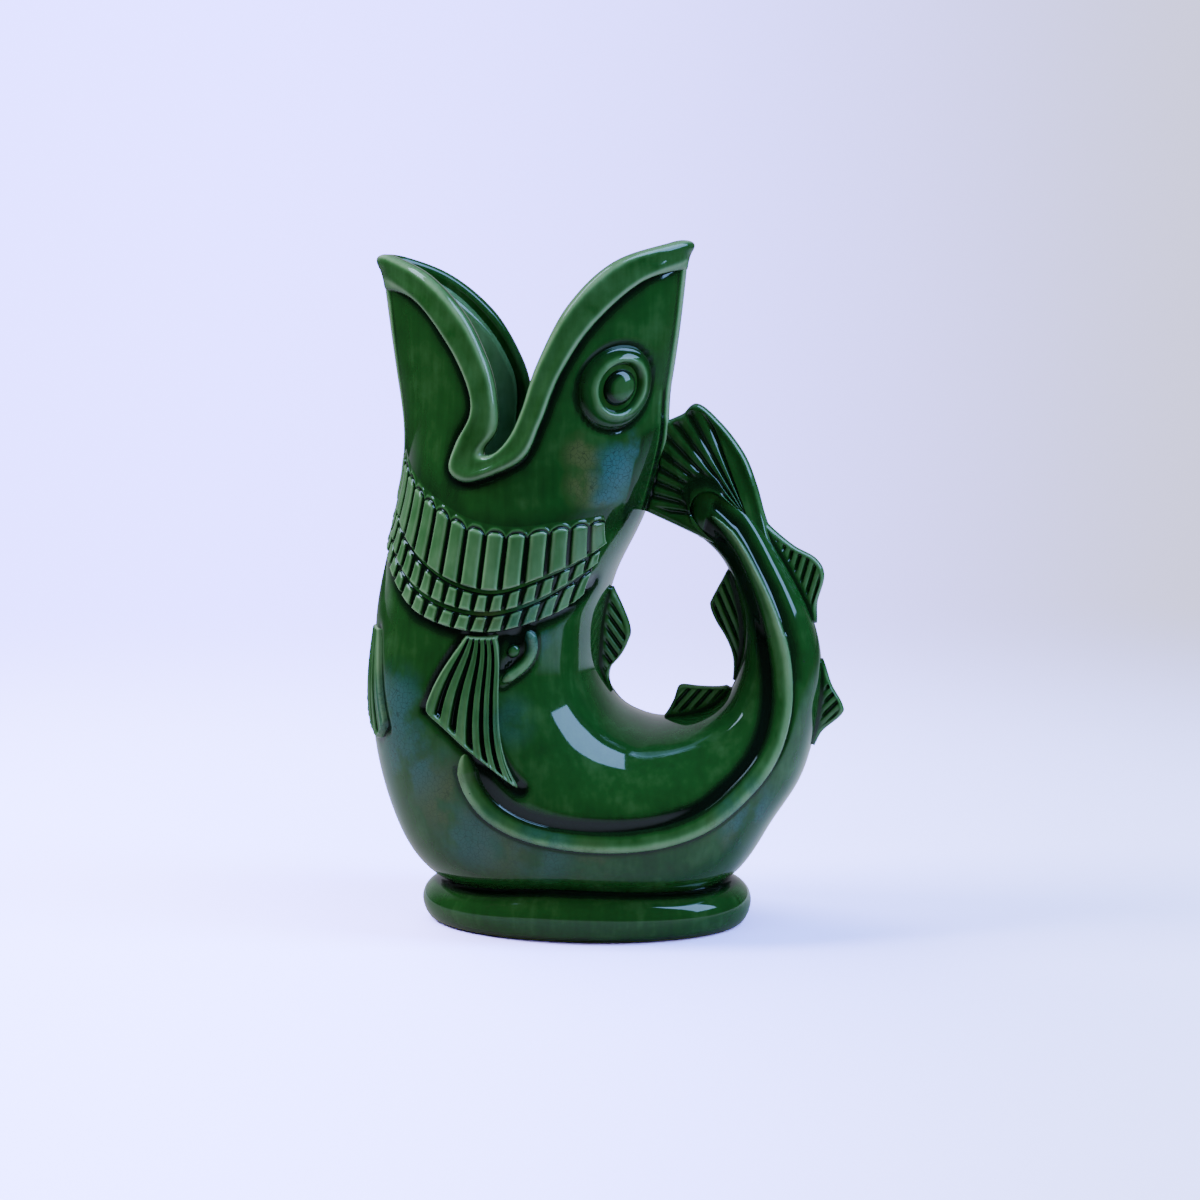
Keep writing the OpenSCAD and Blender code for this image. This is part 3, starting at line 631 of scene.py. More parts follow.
@dataclass(frozen=True)
class MajolicaGlaze:
    """Lead-glazed earthenware, dipped: a thick, clear green glass over a cream body.

    The eye sees a deep bottle green that turns grey-green where the glaze runs thin on ridges
    and nearly black where it pools in grooves, under one hard wet gloss with a slight waviness,
    faint runs, a few pinholes, and patches of satin bloom with fine crazing, on which a teal and
    brown sheen is painted in as colour: a painted reflection.

    The tints are for depths of the glaze from -1 to 1, into which the pieces also paint light
    and shade, and each patch of painted sheen and bloom is its middle on the object and its
    radius, in millimetres, and its strength.
    """

    name: str = "majolica_glazed_earthenware"
    tints: tuple[tuple[float, str], ...] = (
        (-1.0, "#94ab8e"), (-0.5, "#668a64"), (-0.2, "#386339"), (0.0, "#1a471c"),
        (0.25, "#0d2911"), (0.6, "#07120b"))
    mottle: float = 0.34
    mottle_mm: float = 11
    runs: float = 0.16
    run_mm: float = 2.6
    run_tall: float = 9
    # Teal and brown paint an iridescent sheen, a painted reflection, where the glaze also blooms
    # and crazes.
    teal_sheen: str = "#2f5a5c"
    teal_sheen_mm: float = 14
    brown_sheen: str = "#4e5936"
    brown_sheen_mm: float = 11
    sheen_and_bloom_edge: Pair = (1.3, 0.3)
    sheen_and_bloom_broken: Pair = (0.36, 0.54)
    bare_pool: Pair = (0.14, 0.05)
    dirt: str = "#12261b"
    dirt_share: float = 0.7
    craze_mm: float = 1.7
    craze_width: Pair = (0.06, 0.015)
    pinhole_mm: float = 9
    pinhole_width: Pair = (0.035, 0.02)
    roughness: float = 0.06
    bloom_roughness: float = 0.2
    ior: float = 1.5
    wave_mm: float = 30
    ripple_mm: float = 5
    ripple: float = 0.05
    pinhole_dent: float = 0.2
    wave_high_mm: float = 0.6
    wave_strength: float = 0.5
    # Patches of painted sheen and bloom: middle x, y and z, radius, strength.
    teal_sheen_patches: Patches = (
        (15, -22, 166, 11, 1.0), (12, -23, 156, 8, 0.9), (20, -17, 174, 6, 0.8),
        (-61, -38, 82, 16, 0.8), (-57, -41, 66, 17, 0.7), (-34, -46, 38, 14, 0.55),
        (-8, -47, 34, 12, 0.5), (62, -28, 46, 13, 0.7), (-12, -38, 112, 11, 0.6),
        (-20, -46, 80, 10, 0.3))
    brown_sheen_patches: Patches = (
        (4, -30, 172, 8, 0.75), (5, -31, 161, 8, 0.75), (8, -27, 152, 7, 0.7),
        (-44, -46, 52, 15, 0.6), (-24, -47, 34, 12, 0.5), (9, -46, 31, 9, 0.4),
        (53, -35, 40, 8, 0.5), (-27, -46, 117, 6, 0.4))

    def depth(self, tree: Tree, where: Socket, pool: Socket) -> Node:
        """Depth of the glaze: its pooling, with the light and shade painted into it, mottling and
        narrow upright runs.
        """
        tall = add(tree, "VectorMath", (where, (1, 1, 1 / self.run_tall)), operation="MULTIPLY")
        depth = pool
        for seen, mm, detail, share in ((where, self.mottle_mm, 4, self.mottle),
                                        (tall, self.run_mm, 2, self.runs)):
            part = add(tree, "TexNoise", {"Vector": seen, "Scale": 1 / (mm * MM), "Detail": detail})
            part = add(tree, "Math", (part, share, -share / 2), operation="MULTIPLY_ADD")
            depth = add(tree, "Math", (depth, part), operation="ADD")
        return depth

    def sheen_and_bloom(self, tree: Tree, where: Socket, patches: Patches, mm: float) -> Node:
        """How strong the painted sheen and the bloom are: the most of their patches, broken up by
        noise with cells mm wide.
        """
        most = 0.0
        for x, y, z, radius, strength in patches:
            middle = (x * MM, y * MM, z * MM)
            far = add(tree, "VectorMath", (where, middle), operation="DISTANCE").outputs["Value"]
            edge = (share * radius * MM for share in self.sheen_and_bloom_edge)
            near = add(tree, "MapRange", (far, *edge, 0, strength), **SOFT)
            most = add(tree, "Math", (most, near), operation="MAXIMUM")
        broken = add(tree, "TexNoise", {"Vector": where, "Scale": 1 / (mm * MM), "Detail": 5})
        broken = add(tree, "MapRange", (broken, *self.sheen_and_bloom_broken), **SOFT)
        return add(tree, "Math", (most, broken), operation="MULTIPLY")

    def material(self) -> Material:
        """Builds the material: colour from depth, a painted teal and brown sheen, crazing and
        pinholes, and a soft bump.
        """
        material = bpy.data.materials.new(self.name)
        material.use_nodes = True
        tree = material.node_tree
        tree.nodes.clear()
        where = add(tree, "TexCoord").outputs["Object"]
        pool = add(tree, "Attribute", attribute_name=POOL_AND_LIGHT).outputs["Fac"]
        bare = add(tree, "MapRange", (pool, *self.bare_pool), **SOFT)
        brown_sheen, teal_sheen = (
            add(tree, "Math", (self.sheen_and_bloom(tree, where, *patches), bare), operation="MULTIPLY")
            for patches in ((self.brown_sheen_patches, self.brown_sheen_mm), (self.teal_sheen_patches, self.teal_sheen_mm)))
        sheen_and_bloom = add(tree, "Math", (brown_sheen, teal_sheen), operation="MAXIMUM")
        crack, pinhole = (
            add(tree, "TexVoronoi", {"Vector": where, "Scale": 1 / (mm * MM)}, feature=feature)
            for mm, feature in ((self.craze_mm, "DISTANCE_TO_EDGE"), (self.pinhole_mm, "F1")))
        crack = add(tree, "MapRange", (crack, *self.craze_width, 0, self.dirt_share), **SOFT)
        crack = add(tree, "Math", (crack, sheen_and_bloom), operation="MULTIPLY")
        pinhole = add(tree, "MapRange", (pinhole, *self.pinhole_width), **SOFT)
        dirt = add(tree, "Math", (pinhole, self.dirt_share), operation="MULTIPLY")
        depth = self.depth(tree, where, pool)
        depth = add(tree, "Math", (depth, 0.5, 0.5), operation="MULTIPLY_ADD")
        tint = add(tree, "ValToRGB", {"Fac": depth})
        set_ramp(tint, tuple(((place + 1) / 2, code) for place, code in self.tints))
        colour = tint.outputs["Color"]
        # Teal and brown are painted sheen: a reflection painted in as colour.
        for share, code in ((brown_sheen, self.brown_sheen), (teal_sheen, self.teal_sheen), (crack, self.dirt),
                            (dirt, self.dirt)):
            mixed = add(tree, "Mix", {0: share, 6: colour, 7: linear(code)}, data_type="RGBA")
            colour = mixed.outputs[2]
        rough = (sheen_and_bloom, 0, 1, self.roughness, self.bloom_roughness)
        rough = add(tree, "MapRange", rough, **SOFT)
        wave, ripple = (
            add(tree, "TexNoise", {"Vector": where, "Scale": 1 / (mm * MM), "Detail": 1})
            for mm in (self.wave_mm, self.ripple_mm))
        wave = add(tree, "Math", (ripple, self.ripple, wave), operation="MULTIPLY_ADD")
        wave = add(tree, "Math", (pinhole, -self.pinhole_dent, wave), operation="MULTIPLY_ADD")
        sizes = {"Height": wave, "Distance": self.wave_high_mm * MM, "Strength": self.wave_strength}
        looks = {"Base Color": colour, "Roughness": rough, "IOR": self.ior,
                 "Normal": add(tree, "Bump", sizes)}
        add(tree, "OutputMaterial", {"Surface": add(tree, "BsdfPrincipled", looks)})
        return material


# ---------------------------------------------------------------------------------------------
# The cast body


@dataclass(frozen=True)
class Cut:
    """A soft groove in the wall beside a relief: where the clay is cut in and the glaze pools. Some
    only darken the colour with no cut, and some darken it as painted shade.
    """

    path: Array
    width: float
    depth: float
    pool: float
    offset: float = 0.0

    def apply(self, points: Array, rise: Array, pool: Array) -> None:
        """Cuts exp(-((d - offset) / width)^2) of the depth at distance d, and darkens the glaze
        likewise.
        """
        near = nearest(points.reshape(-1, 3), self.path).reshape(rise.shape)
        soft = ridge(near, self.offset, self.width)
        rise -= self.depth * soft
        pool += self.pool * soft


def path(form: FishForm, rows: Array, count: int = 260) -> Array:
    """Points of the skin along a table of places."""
    p = curve(rows, np.linspace(0, len(rows) - 1, count))
    return form.skin(p[:, 0], p[:, 1])


def line_way(form: FishForm, rows: Array, t: Array, step: float = 0.02) -> tuple[Array, Array]:
    """Places t of a table, and the unit way of its line there: round the fish, and down it."""
    p, q = curve(rows, t), curve(rows, t + step) - curve(rows, t - step)
    down, round_ = form.lengths(p[:, 0], p[:, 1])
    way = np.stack([q[:, 1] * round_, q[:, 0] * down], -1)
    return p, way / np.linalg.norm(way, axis=1, keepdims=True)


def beside(form: FishForm, rows: Array, offset: float, start: float = 0.5) -> Array:
    """Points of the skin at offset millimetres beside a table of places, towards the hole."""
    p, way = line_way(form, rows, np.linspace(start, len(rows) - 1, 500))
    return form.spot(p[:, 0], p[:, 1], -way[:, 1] * offset, way[:, 0] * offset, 0)


def wall_cuts(form: FishForm, at: Places) -> list[Cut]:
    """Every groove in the wall, on the left side: its path, width, depth, darkening and offset."""
    lip = form.skin(*form.lip_place(np.linspace(0, form.lip_n, 400), 0.0))
    turn = np.linspace(0, 2 * np.pi, 160)
    eye = form.spot(*at.eye, at.eye_r * np.cos(turn), at.eye_r * np.sin(turn), 0)
    angle = np.linspace(26, 179.5, 260)
    collar_top = form.skin(collar(at.collar_top, angle), angle)
    collar_end = form.skin(collar(at.collar_end, angle), angle)
    fins = (at.pectoral_root, at.pectoral_edge), (at.ventral_root, at.ventral_edge)
    pectoral, ventral = (
        [path(form, np.stack([root[i], edge[i]]), 120) for i in (0, -1)] for root, edge in fins)
    return [Cut(*row) for row in (
        (lip, 1.5, 0.6, 0.5, 0.7),
        # Only a darker soft band beside the lip, with no groove.
        (lip, 5.0, 0.0, 0.12),
        (eye, 1.2, 0.5, 0.55, 0.9),
        # The groove under the collar: part real groove, and its dark band painted shadow of the
        # collar's step.
        (collar_end, 2.3, 0.7, 0.6, 0.8),
        # Only a darker soft band along the collar's top, with no groove.
        (collar_top, 6.0, 0.0, 0.2),
        (pectoral[0], 1.1, 0.7, 0.9, 0.7),
        # The groove along the pectoral fin's back side is wide and dark: painted shade as well as a
        # groove.
        (pectoral[1], 2.2, 0.9, 0.8, 0.6),
        (path(form, at.pectoral_edge), 1.6, 0.4, 0.35, 0.8),
        (ventral[0], 1.2, 0.5, 0.6, 0.4),
        (ventral[1], 1.6, 0.7, 0.8, 0.6),
        (path(form, at.ventral_edge), 1.2, 0.3, 0.3, 0.6),
        # The dark valley beside the lateral line, towards the hole: painted shade over a shallow
        # groove.
        (beside(form, at.line, 5.4), 2.4, 0.35, 0.95),
        (beside(form, at.line, -4.0), 1.2, 0.4, 0.3),
        (beside(form, at.line, -5.6, 14), 2.2, 0.9, 0.22),
        (path(form, at.flap_hollow), 2.6, 1.1, 0.9),
        (path(form, at.flap), 0.9, 0.3, 0.4, 2.8))]


def both(values: Array, sign: int = 1) -> Array:
    """Adds the right half's columns, which mirror the left half's, with the given sign."""
    return np.concatenate([values, sign * values[:, -2:0:-1]], 1)


@dataclass
class Body(Part):
    """The cast wall from the mouth round the curl, and the hollow tail that goes on from it."""

    columns: int = 130
    outer_rows: tuple[int, int, int] = (110, 44, 140)
    tube_rows: int = 150
    tip_rows: int = 24
    inner_rows: tuple[int, int, int] = (16, 8, 32)
    inner_tube_rows: int = 40
    lap_n: float = 0.06
    lap_mm: float = 0.004
    soft_mm: float = 0.7
    band_half_mm: Pair = (5.6, 3.2)
    band_end_n: Pair = (4.9, 4.3)
    band_h: float = 0.8
    panel_mm: float = 15.7
    panel_bulge_mm: float = 2.2
    panel_h: float = 0.15
    cuts: list[Cut] = field(default_factory=lambda: wall_cuts(FORM, PLACES))

    def wall_places(self, wall: int, neck: int, curl: int, past: float = 0) -> tuple[Array, Array]:
        """Rows of places on the left half, from the lip to the start of the tail's tube or past it.

        They are a little closer together near the lip.
        """
        f = self.form
        t = np.linspace(0, f.lip_n, self.columns + 1)[None]
        down = (np.linspace(0, 1, wall) ** 1.15)[:, None]
        s1, a1 = f.wall_place(t + 0 * down, down + 0 * t)
        rest = np.concatenate([np.linspace(f.throat_n, f.head_n, neck + 1)[1:],
                               np.linspace(f.head_n, f.tube_start_n, curl + 1)[1:]])
        rest = (np.append(rest, f.tube_start_n + past) if past else rest)[:, None]
        a2 = np.broadcast_to(a1[-1], (len(rest), self.columns + 1))
        return np.concatenate([s1, rest + 0 * a2]), np.concatenate([a1, a2])

    def band(self, station: Array, off: Array, end: float, half: float) -> tuple[Array, Array]:
        """A flat band up the middle, half millimetres to each side, that fades out at end. It
        stands a little proud, and its pale colour is a painted reflection.
        """
        fade = 1 - smooth(end, end + 0.5, station)
        band = (1 - smooth(half - self.soft_mm, half + self.soft_mm, off)) * fade
        # The band's pale colour is a painted reflection, as seen at a grazing angle.
        return self.band_h * band, 0.16 * ridge(off, half + 1.3, 1.0) * fade - 0.75 * band

    def panel(self, station: Array, back: Array) -> tuple[Array, Array]:
        """The faint panel beside the tail fin's joint, and the glaze that pools along the joint.
        The panel is a little darker with a sharp edge: the painted edge of a reflection.
        """
        reach = self.panel_mm + self.panel_bulge_mm * ridge(station, 5.0, 0.8)
        panel = 1 - smooth(reach - self.soft_mm, reach + self.soft_mm, back)
        panel *= smooth(3.7, 3.85, station - 0.02 * back) * (1 - smooth(5.9, 6.2, station))
        edge = ridge(back, reach, 0.8) * between((4.0, 4.2), (5.8, 6.0), station)
        seam = 0.5 * ridge(back, 5.2, 0.9) - 0.3 * ridge(back, 7.2, 0.7)
        seam *= between((3.1, 3.3), (6.1, 6.4), station)
        # The panel's darker colour and its sharp edge paint where a reflection ends.
        return self.panel_h * panel, 0.15 * panel + 0.1 * edge + seam

    def relief(self, station: Array, angle: Array) -> tuple[Array, Array]:
        """Height of the moulded lines in the wall, and how the glaze lies on them, with painted
        light and shade beside some of them.

        Args:
            station: places on the left half.
            angle: likewise.

        Returns:
            The height in millimetres and the darkening of the glaze, painted light and shade
            included, for the left half.
        """
        f = self.form
        round_ = f.lengths(station, angle)[1]
        front, back = (180 - angle) * round_, angle * round_
        rise, pool = f.keel(station, back), np.zeros(station.shape)
        points = f.skin(station, angle)
        for cut in self.cuts:
            cut.apply(points, rise, pool)
        bands = zip((front, back), self.band_end_n, self.band_half_mm)
        parts = [self.band(station, *band) for band in bands]
        for high, deep in (*parts, self.panel(station, back)):
            rise += high
            pool += deep
        return rise, pool

    def shell(self) -> Shape:
        """The wall: its outside at full detail and its inside coarser, closed at both ends.

        The outside laps one row past the tube's start, a hair below it, and the tube laps back
        likewise, so that both are shaded alike where they meet.
        """
        f = self.form
        station, angle = self.wall_places(*self.outer_rows, self.lap_n)
        rise, pool = (both(v) for v in self.relief(station, angle))
        rise[-1] -= self.lap_mm
        outer = f.skin(both(station), both(angle, -1), rise)
        station, angle = self.wall_places(*self.inner_rows)
        inner = f.skin(both(station), both(angle, -1), -f.wall)
        # The inside of the wall is made paler: painted light, of the light that falls into the
        # mouth.
        pools = np.concatenate([np.full(inner.shape[:2], -0.3), pool[::-1]])
        seams = (len(inner) - 1, len(inner) + len(outer) - 1)
        return looped(np.concatenate([inner, outer[::-1]]), pools, True, seams)

    def tube(self) -> Shape:
        """The tail's tube with its round end: its inside from the tip down, then its outside."""
        f = self.form
        left = self.wall_places(2, 1, 1)[1][-1][None]
        angle = both(left, -1)
        turn = np.radians(np.linspace(0, 90, self.tip_rows + 2)[1:-1, None])
        station = np.linspace(f.tube_start_n, f.tube_end_n, self.tube_rows)
        station = np.append(f.tube_start_n - self.lap_n, station)[:, None]
        rise, pool = (both(v) for v in self.relief(station + 0 * left, left + 0 * station))
        rise[0] -= self.lap_mm
        tip = f.round_end(f.tube_end_n, turn, angle, 0)
        outer = np.concatenate([f.skin(station, angle, rise), tip])
        end = f.tube_end_n - f.tube_cap_share
        station = np.linspace(f.tube_start_n, end, self.inner_tube_rows)[:, None]
        tip = f.round_end(end, turn, angle, -f.wall)
        inner = np.concatenate([f.skin(station, angle, -f.wall), tip])
        tip_pool = np.full((self.tip_rows, angle.shape[1]), 0.1)
        pools = np.concatenate([np.zeros(inner.shape[:2]), pool, tip_pool])
        return looped(np.concatenate([inner[::-1], outer]), pools, seams=(len(inner) - 1,))

    def build(self) -> None:
        """Makes the two pieces."""
        make_piece("cast_body", self.shell(), self.finish, "body_shell")
        make_piece("hollow_tail", self.tube(), self.finish, "tail_tube")


@dataclass
class Lip(Part):
    """The thick rolled lip round the mouth: a bead, a hollow band and a round top edge.

    The rows of a section are a share of the way from the lip's outer to its top edge, and a
    height. Over tip_n rows of the lip's table, section turns into tip_section at each tip.
    """

    steps: int = 14
    around: int = 64
    outer_share: float = 0.66
    section: Array = table(
        (-0.03, -1.3), (0.01, 0.2), (0.07, 1.5), (0.16, 2.5), (0.28, 3.0), (0.40, 2.85),
        (0.54, 2.35), (0.70, 2.1), (0.84, 2.0), (0.96, 1.5), (1.05, 0.3), (1.09, -1.5),
        (1.05, -3.3), (0.93, -4.6), (0.76, -4.95), (0.62, -4.3), (0.3, -2.6))
    tip_section: Array = table(
        (-0.62, -1.3), (-0.54, 0.3), (-0.40, 1.0), (-0.12, 1.15), (0.14, 1.4), (0.35, 1.8),
        (0.54, 2.4), (0.70, 2.75), (0.84, 2.65), (0.95, 2.0), (1.02, 0.9), (1.05, -0.4),
        (1.02, -1.9), (0.95, -2.8), (0.8, -3.4), (0.55, -3.6), (-0.1, -2.8))
    tip_n: float = 2.1
    tip_pool: float = -0.35

    def build(self) -> None:
        """Carries the section along the mouth's edge and back on the right side.

        The glaze pools at the foot of the bead and runs thin on the bead and on the top edge.
        The part of the section past outer_share looks into the mouth and is even.
        """
        f = self.form
        t = np.linspace(0, f.lip_n, f.lip_n * self.steps + 1)
        at = np.linspace(0, len(self.section) - 1, self.around)
        tip = np.clip(1 - np.minimum(t, f.lip_n - t) / self.tip_n, 0, 1)[:, None]
        turned = smooth(0, 1, tip)[..., None]
        section = mix(curve(self.section, at)[None], curve(self.tip_section, at)[None], turned)
        station, angle = f.lip_place(t[:, None], section[..., 0])
        left = f.skin(station, angle, section[..., 1])
        right = left[-2:0:-1] * np.array([1, -1, 1])
        share = curve(self.section, at)[:, 0]
        across = 0.5 * (1 - smooth(-0.01, 0.09, share)) - 0.5 * ridge(share, 0.15, 0.11)
        across -= 0.4 * ridge(share, 1.0, 0.09) + 0.07 * smooth(0.1, 0.4, share)
        across[np.arange(self.around) > self.around * self.outer_share] = 0
        low = tip * (1 - smooth(-0.1, 0.05, section[..., 0]))
        pool = mix(across[None], self.tip_pool, low)
        shape = looped(np.concatenate([left, right]), np.concatenate([pool, pool[-2:0:-1]]), True)
        make_piece("rolled_lip", shape, self.finish, "mouth_rim")


@dataclass
class Foot(Part):
    """The oval foot: a swelling ring under the body, hollow beneath.

    The rows of section are how far out of the oval a point lies, and its share of the height of
    the fish's underside above it. The rows of inner go on from the top down the inside: how far
    out, and the height. Its first two lie lap_mm inside the fish instead.
    """

    length: float = 113
    width: float = 80
    around: int = 300
    across: int = 60
    top_out: float = -4.0
    lap_mm: float = 0.5
    section: Array = table(
        (-1.6, 0.0), (-0.2, 0.01), (1.4, 0.07), (3.0, 0.22), (3.9, 0.42), (3.7, 0.58),
        (2.6, 0.73), (0.6, 0.86), (-1.4, 0.94), (-2.9, 1.0), (-4.0, 1.12))
    inner: Array = table((-7.5, 0), (-12.0, 0), (-12.0, 5), (-11.0, 1.2), (-9.5, 0.15), (-7.8, 0.0))

    def build(self) -> None:
        """Turns the section round the oval, its top against the fish's underside."""
        turn = np.linspace(0, 2 * np.pi, self.around, endpoint=False)[:, None]

        def oval(out: Array | float) -> tuple[Array, Array]:
            """Points that lie so many millimetres out of the oval."""
            return (self.length / 2 + out) * np.cos(turn), (self.width / 2 + out) * np.sin(turn)

        p = curve(self.section, np.linspace(0, len(self.section) - 1, self.across))
        top = self.form.underside(*oval(self.top_out))
        outside = np.stack([*oval(p[:, 0]), p[:, 1] * top], -1)
        x, y = oval(self.inner[:, 0])
        z = self.inner[:, 1] + 0 * x
        z[:, :2] = self.form.underside(x[:, :2], y[:, :2]) + self.lap_mm
        points = np.concatenate([outside, np.stack([x, y, z], -1)], 1)
        top, bottom = smooth(0.86, 1.0, p[:, 1]), 1 - smooth(0.02, 0.2, p[:, 1])
        pool = np.zeros(points.shape[:2])
        pool[:, : self.across] = 0.75 * top + 0.35 * bottom
        make_piece("oval_foot", looped(points, pool, True), self.finish, "foot_ring")


# ---------------------------------------------------------------------------------------------
# Reliefs that lie on the skin


def laid(form: FishForm, places: tuple[Array, Array], rise: Array, pool: Array, depth: float,
         strips: int) -> Shape:
    """A relief laid on the skin, with an underside of a few wide strips at depth in the wall."""
    n = rise.shape[1]
    k = np.minimum(n * np.arange(strips + 1) // strips, n - 1)
    under = form.skin(*(v[:, k] for v in places), -depth)
    return patch(form.skin(*places, rise), pool, under)


@dataclass
class Eye(Part):
    """The eye: a domed pupil in a groove, and a wide ring with a raised inner edge.

    The rows of ring are its radii and heights, and pools has one value for each pool_step_mm of
    radius. Round the ring the eye is a circle, and further in it is a little narrower.
    """

    pupil_r: float = 6.2
    pupil_h: float = 3.4
    pupil_out_r: float = 7.0
    inner_r: float = 6.8
    outer_r: float = 15.0
    narrow: float = 0.96
    narrow_mm: Pair = (9.5, 14)
    pool_step_mm: float = 2
    pools: Array = table(-0.12, -0.1, -0.02, 0.55, 0.3, -0.34, 0.06, 0.2)
    around: int = 160
    ring: Array = table(
        (6.4, -1.6), (7.0, -0.9), (7.9, -0.4), (8.6, 0.9), (9.2, 2.1), (10.1, 2.5), (11.0, 2.1),
        (12.0, 1.75), (13.0, 1.65), (13.8, 1.3), (14.4, 0.6), (15.3, -1.0))

    def disc(self, radii: Array, rise: Array | float) -> tuple[Array, Array]:
        """Rings of points round the eye's middle, for radii and heights, and their pooling."""
        turn = np.linspace(0, 2 * np.pi, self.around, endpoint=False)[None]
        r, rise = radii[:, None], (rise + 0 * radii)[:, None]
        narrow = mix(self.narrow, 1, smooth(*self.narrow_mm, r))
        points = self.form.spot(*PLACES.eye, r * narrow * np.cos(turn), r * np.sin(turn), rise)
        return points, curve(self.pools, r / self.pool_step_mm) + 0 * turn

    def build(self) -> None:
        """Makes the ring and the pupil on each side."""
        p = curve(self.ring, np.linspace(0, len(self.ring) - 1, 56))
        points, pool = self.disc(p[:, 0], p[:, 1])
        low, none = self.disc(np.array([self.outer_r, self.inner_r]), -1.6)
        ring = looped(np.concatenate([points, low]), np.concatenate([pool, 0 * none]), True)
        r = np.linspace(self.pupil_out_r, 0.15, 34)
        dome = self.pupil_h * np.sqrt(np.maximum(0, 1 - (r / (self.pupil_r + 0.2)) ** 2)) ** 0.9
        points, pool = self.disc(r, dome - smooth(self.pupil_r, self.pupil_out_r, r))
        low, none = self.disc(np.array([0.2, self.inner_r]), -1.4)
        pupil = looped(np.concatenate([low, points]), np.concatenate([0 * none, pool]))
        make_pairs(self.finish, ("eye_ring", ring), ("eye_pupil", pupil))


@dataclass(frozen=True)
class PlateCut:
    """How a style of gill plate is cut, in shares of the plate's own length or width.

    The bed under the row reaches from the first to the last value of bed, and a plate from top
    to end. Its top's corners lie crown lower. Two plates are groove times groove_mm apart at
    their end and spread more at their top, and soft_mm is how far in their edge is round.
    """

    bed: Pair
    top: float
    end: float
    crown: float
    groove: float
    spread: float
    soft_mm: float


class PlateStyle(Enum):
    """How a gill plate ends at its top: under an arch, or square."""

    ARCHED = PlateCut((-0.16, 1.03), 0.03, 0.985, 0.11, 1, 0, 2.0)
    SQUARE = PlateCut((-0.06, 1.04), 0.14, 0.94, 0.13, 0.8, 0.17, 1.2)


@dataclass
class GillRow(Part):
    """A row of moulded plates across the gill collar, on a bed between two of its edges.

    It runs from front_deg to back_deg, which is one angle at its top and one at its end. Above
    its top an arched row's bed goes on at over_n stations for a plate's length.
    """

    name: str
    top: Array
    end: Array
    count: int
    style: PlateStyle
    height: float
    columns_each: int
    rows: int
    back_deg: Pair
    front_deg: float = 179.5
    past: float = 0.006
    over_n: float = 1.1
    groove_mm: float = 1.3
    bed_h: float = 0.14
    sink_mm: float = 1.3
    under_mm: float = 1.8

    def build(self) -> None:
        """Works out the relief of the row and makes it on each side.

        A plate's height grows with the distance d in millimetres from its outline, as
        h sqrt(1 - (1 - d / soft_mm)^2). It is lower at its top and at the front, and its end
        has a brim, with a pale line along it that is a painted highlight. The bed sinks into the
        wall
        at its border, and is dark: pooled glaze, and below each plate's end painted shadow.
        """
        f, cut = self.form, self.style.value
        arched = self.style is PlateStyle.ARCHED
        first, last = cut.bed
        n = self.count * self.columns_each + 1
        u = np.linspace(-self.past, 1 + self.past, n)[None]
        v = np.linspace(first, last, self.rows)[:, None]
        back_deg = mix(*self.back_deg, v)
        angle = mix(self.front_deg, back_deg, u)
        top, end = collar(self.top, angle), collar(self.end, angle)
        step = np.where((v < 0) & arched, self.over_n, end - top)
        station = top + v * step
        down, round_ = f.lengths(station, angle)
        long_mm, over_mm = (end - top) * down, step * down
        wide_mm = (self.front_deg - back_deg) / self.count * round_
        a = (u * self.count) % 1
        gap_mm = self.groove_mm * cut.groove + cut.spread * wide_mm * (1 - v)
        to_side = (0.5 - np.abs(a - 0.5)) * wide_mm - gap_mm / 2
        to_top = v * over_mm - (cut.top + cut.crown * np.abs(2 * a - 1) ** 2.6) * long_mm
        to_end = (cut.end - v) * long_mm
        d = np.minimum(np.minimum(to_side, to_top), to_end)
        plate = rounded(d, cut.soft_mm)
        brim = ridge(to_end, 0.6, 0.6) * smooth(-0.6, 0.2, to_side)
        border = np.minimum((v - first) * over_mm, (last - v) * long_mm)
        ends = np.minimum(u + self.past, 1 + self.past - u) * self.count * wide_mm
        border = np.minimum(border, ends)
        high = self.height * (0.6 + 0.4 * smooth(0.02, 0.2, u))
        high = high * (0.8 + 0.2 * smooth(0.4, 1.0, v) + 0.25 * brim)
        rise = self.bed_h * smooth(0.9, 2.6, border) - 0.02 + high * plate
        face = -0.2 - 0.17 * ridge(d, 0.7, 0.55) - 0.08 * v
        # The bed is dark: pooled glaze in the grooves between plates, and below each plate's end
        # painted shadow of its step.
        pool = mix(0.62, face, smooth(-0.15, 0.5, d))
        # A pale line along each plate's end: a painted highlight.
        pool -= 0.5 * ridge(to_end, 0.35, 0.4) * smooth(-0.9, 0.3, to_side)
        if arched:
            rise += 0.35 * ridge(to_top, -1.1, 0.55) * (1 - plate)
            above = 1 - smooth(-0.75, -0.15, to_top)
            pool = mix(pool, 0.12 - 0.3 * ridge(to_top, -1.1, 0.5), above)
        rise = rise - self.sink_mm * (1 - smooth(0, 0.8, border))
        shape = laid(f, (station, angle), rise, pool, self.under_mm, strips=4)
        make_pairs(self.finish, (self.name, shape), prefix="gill_plates_")


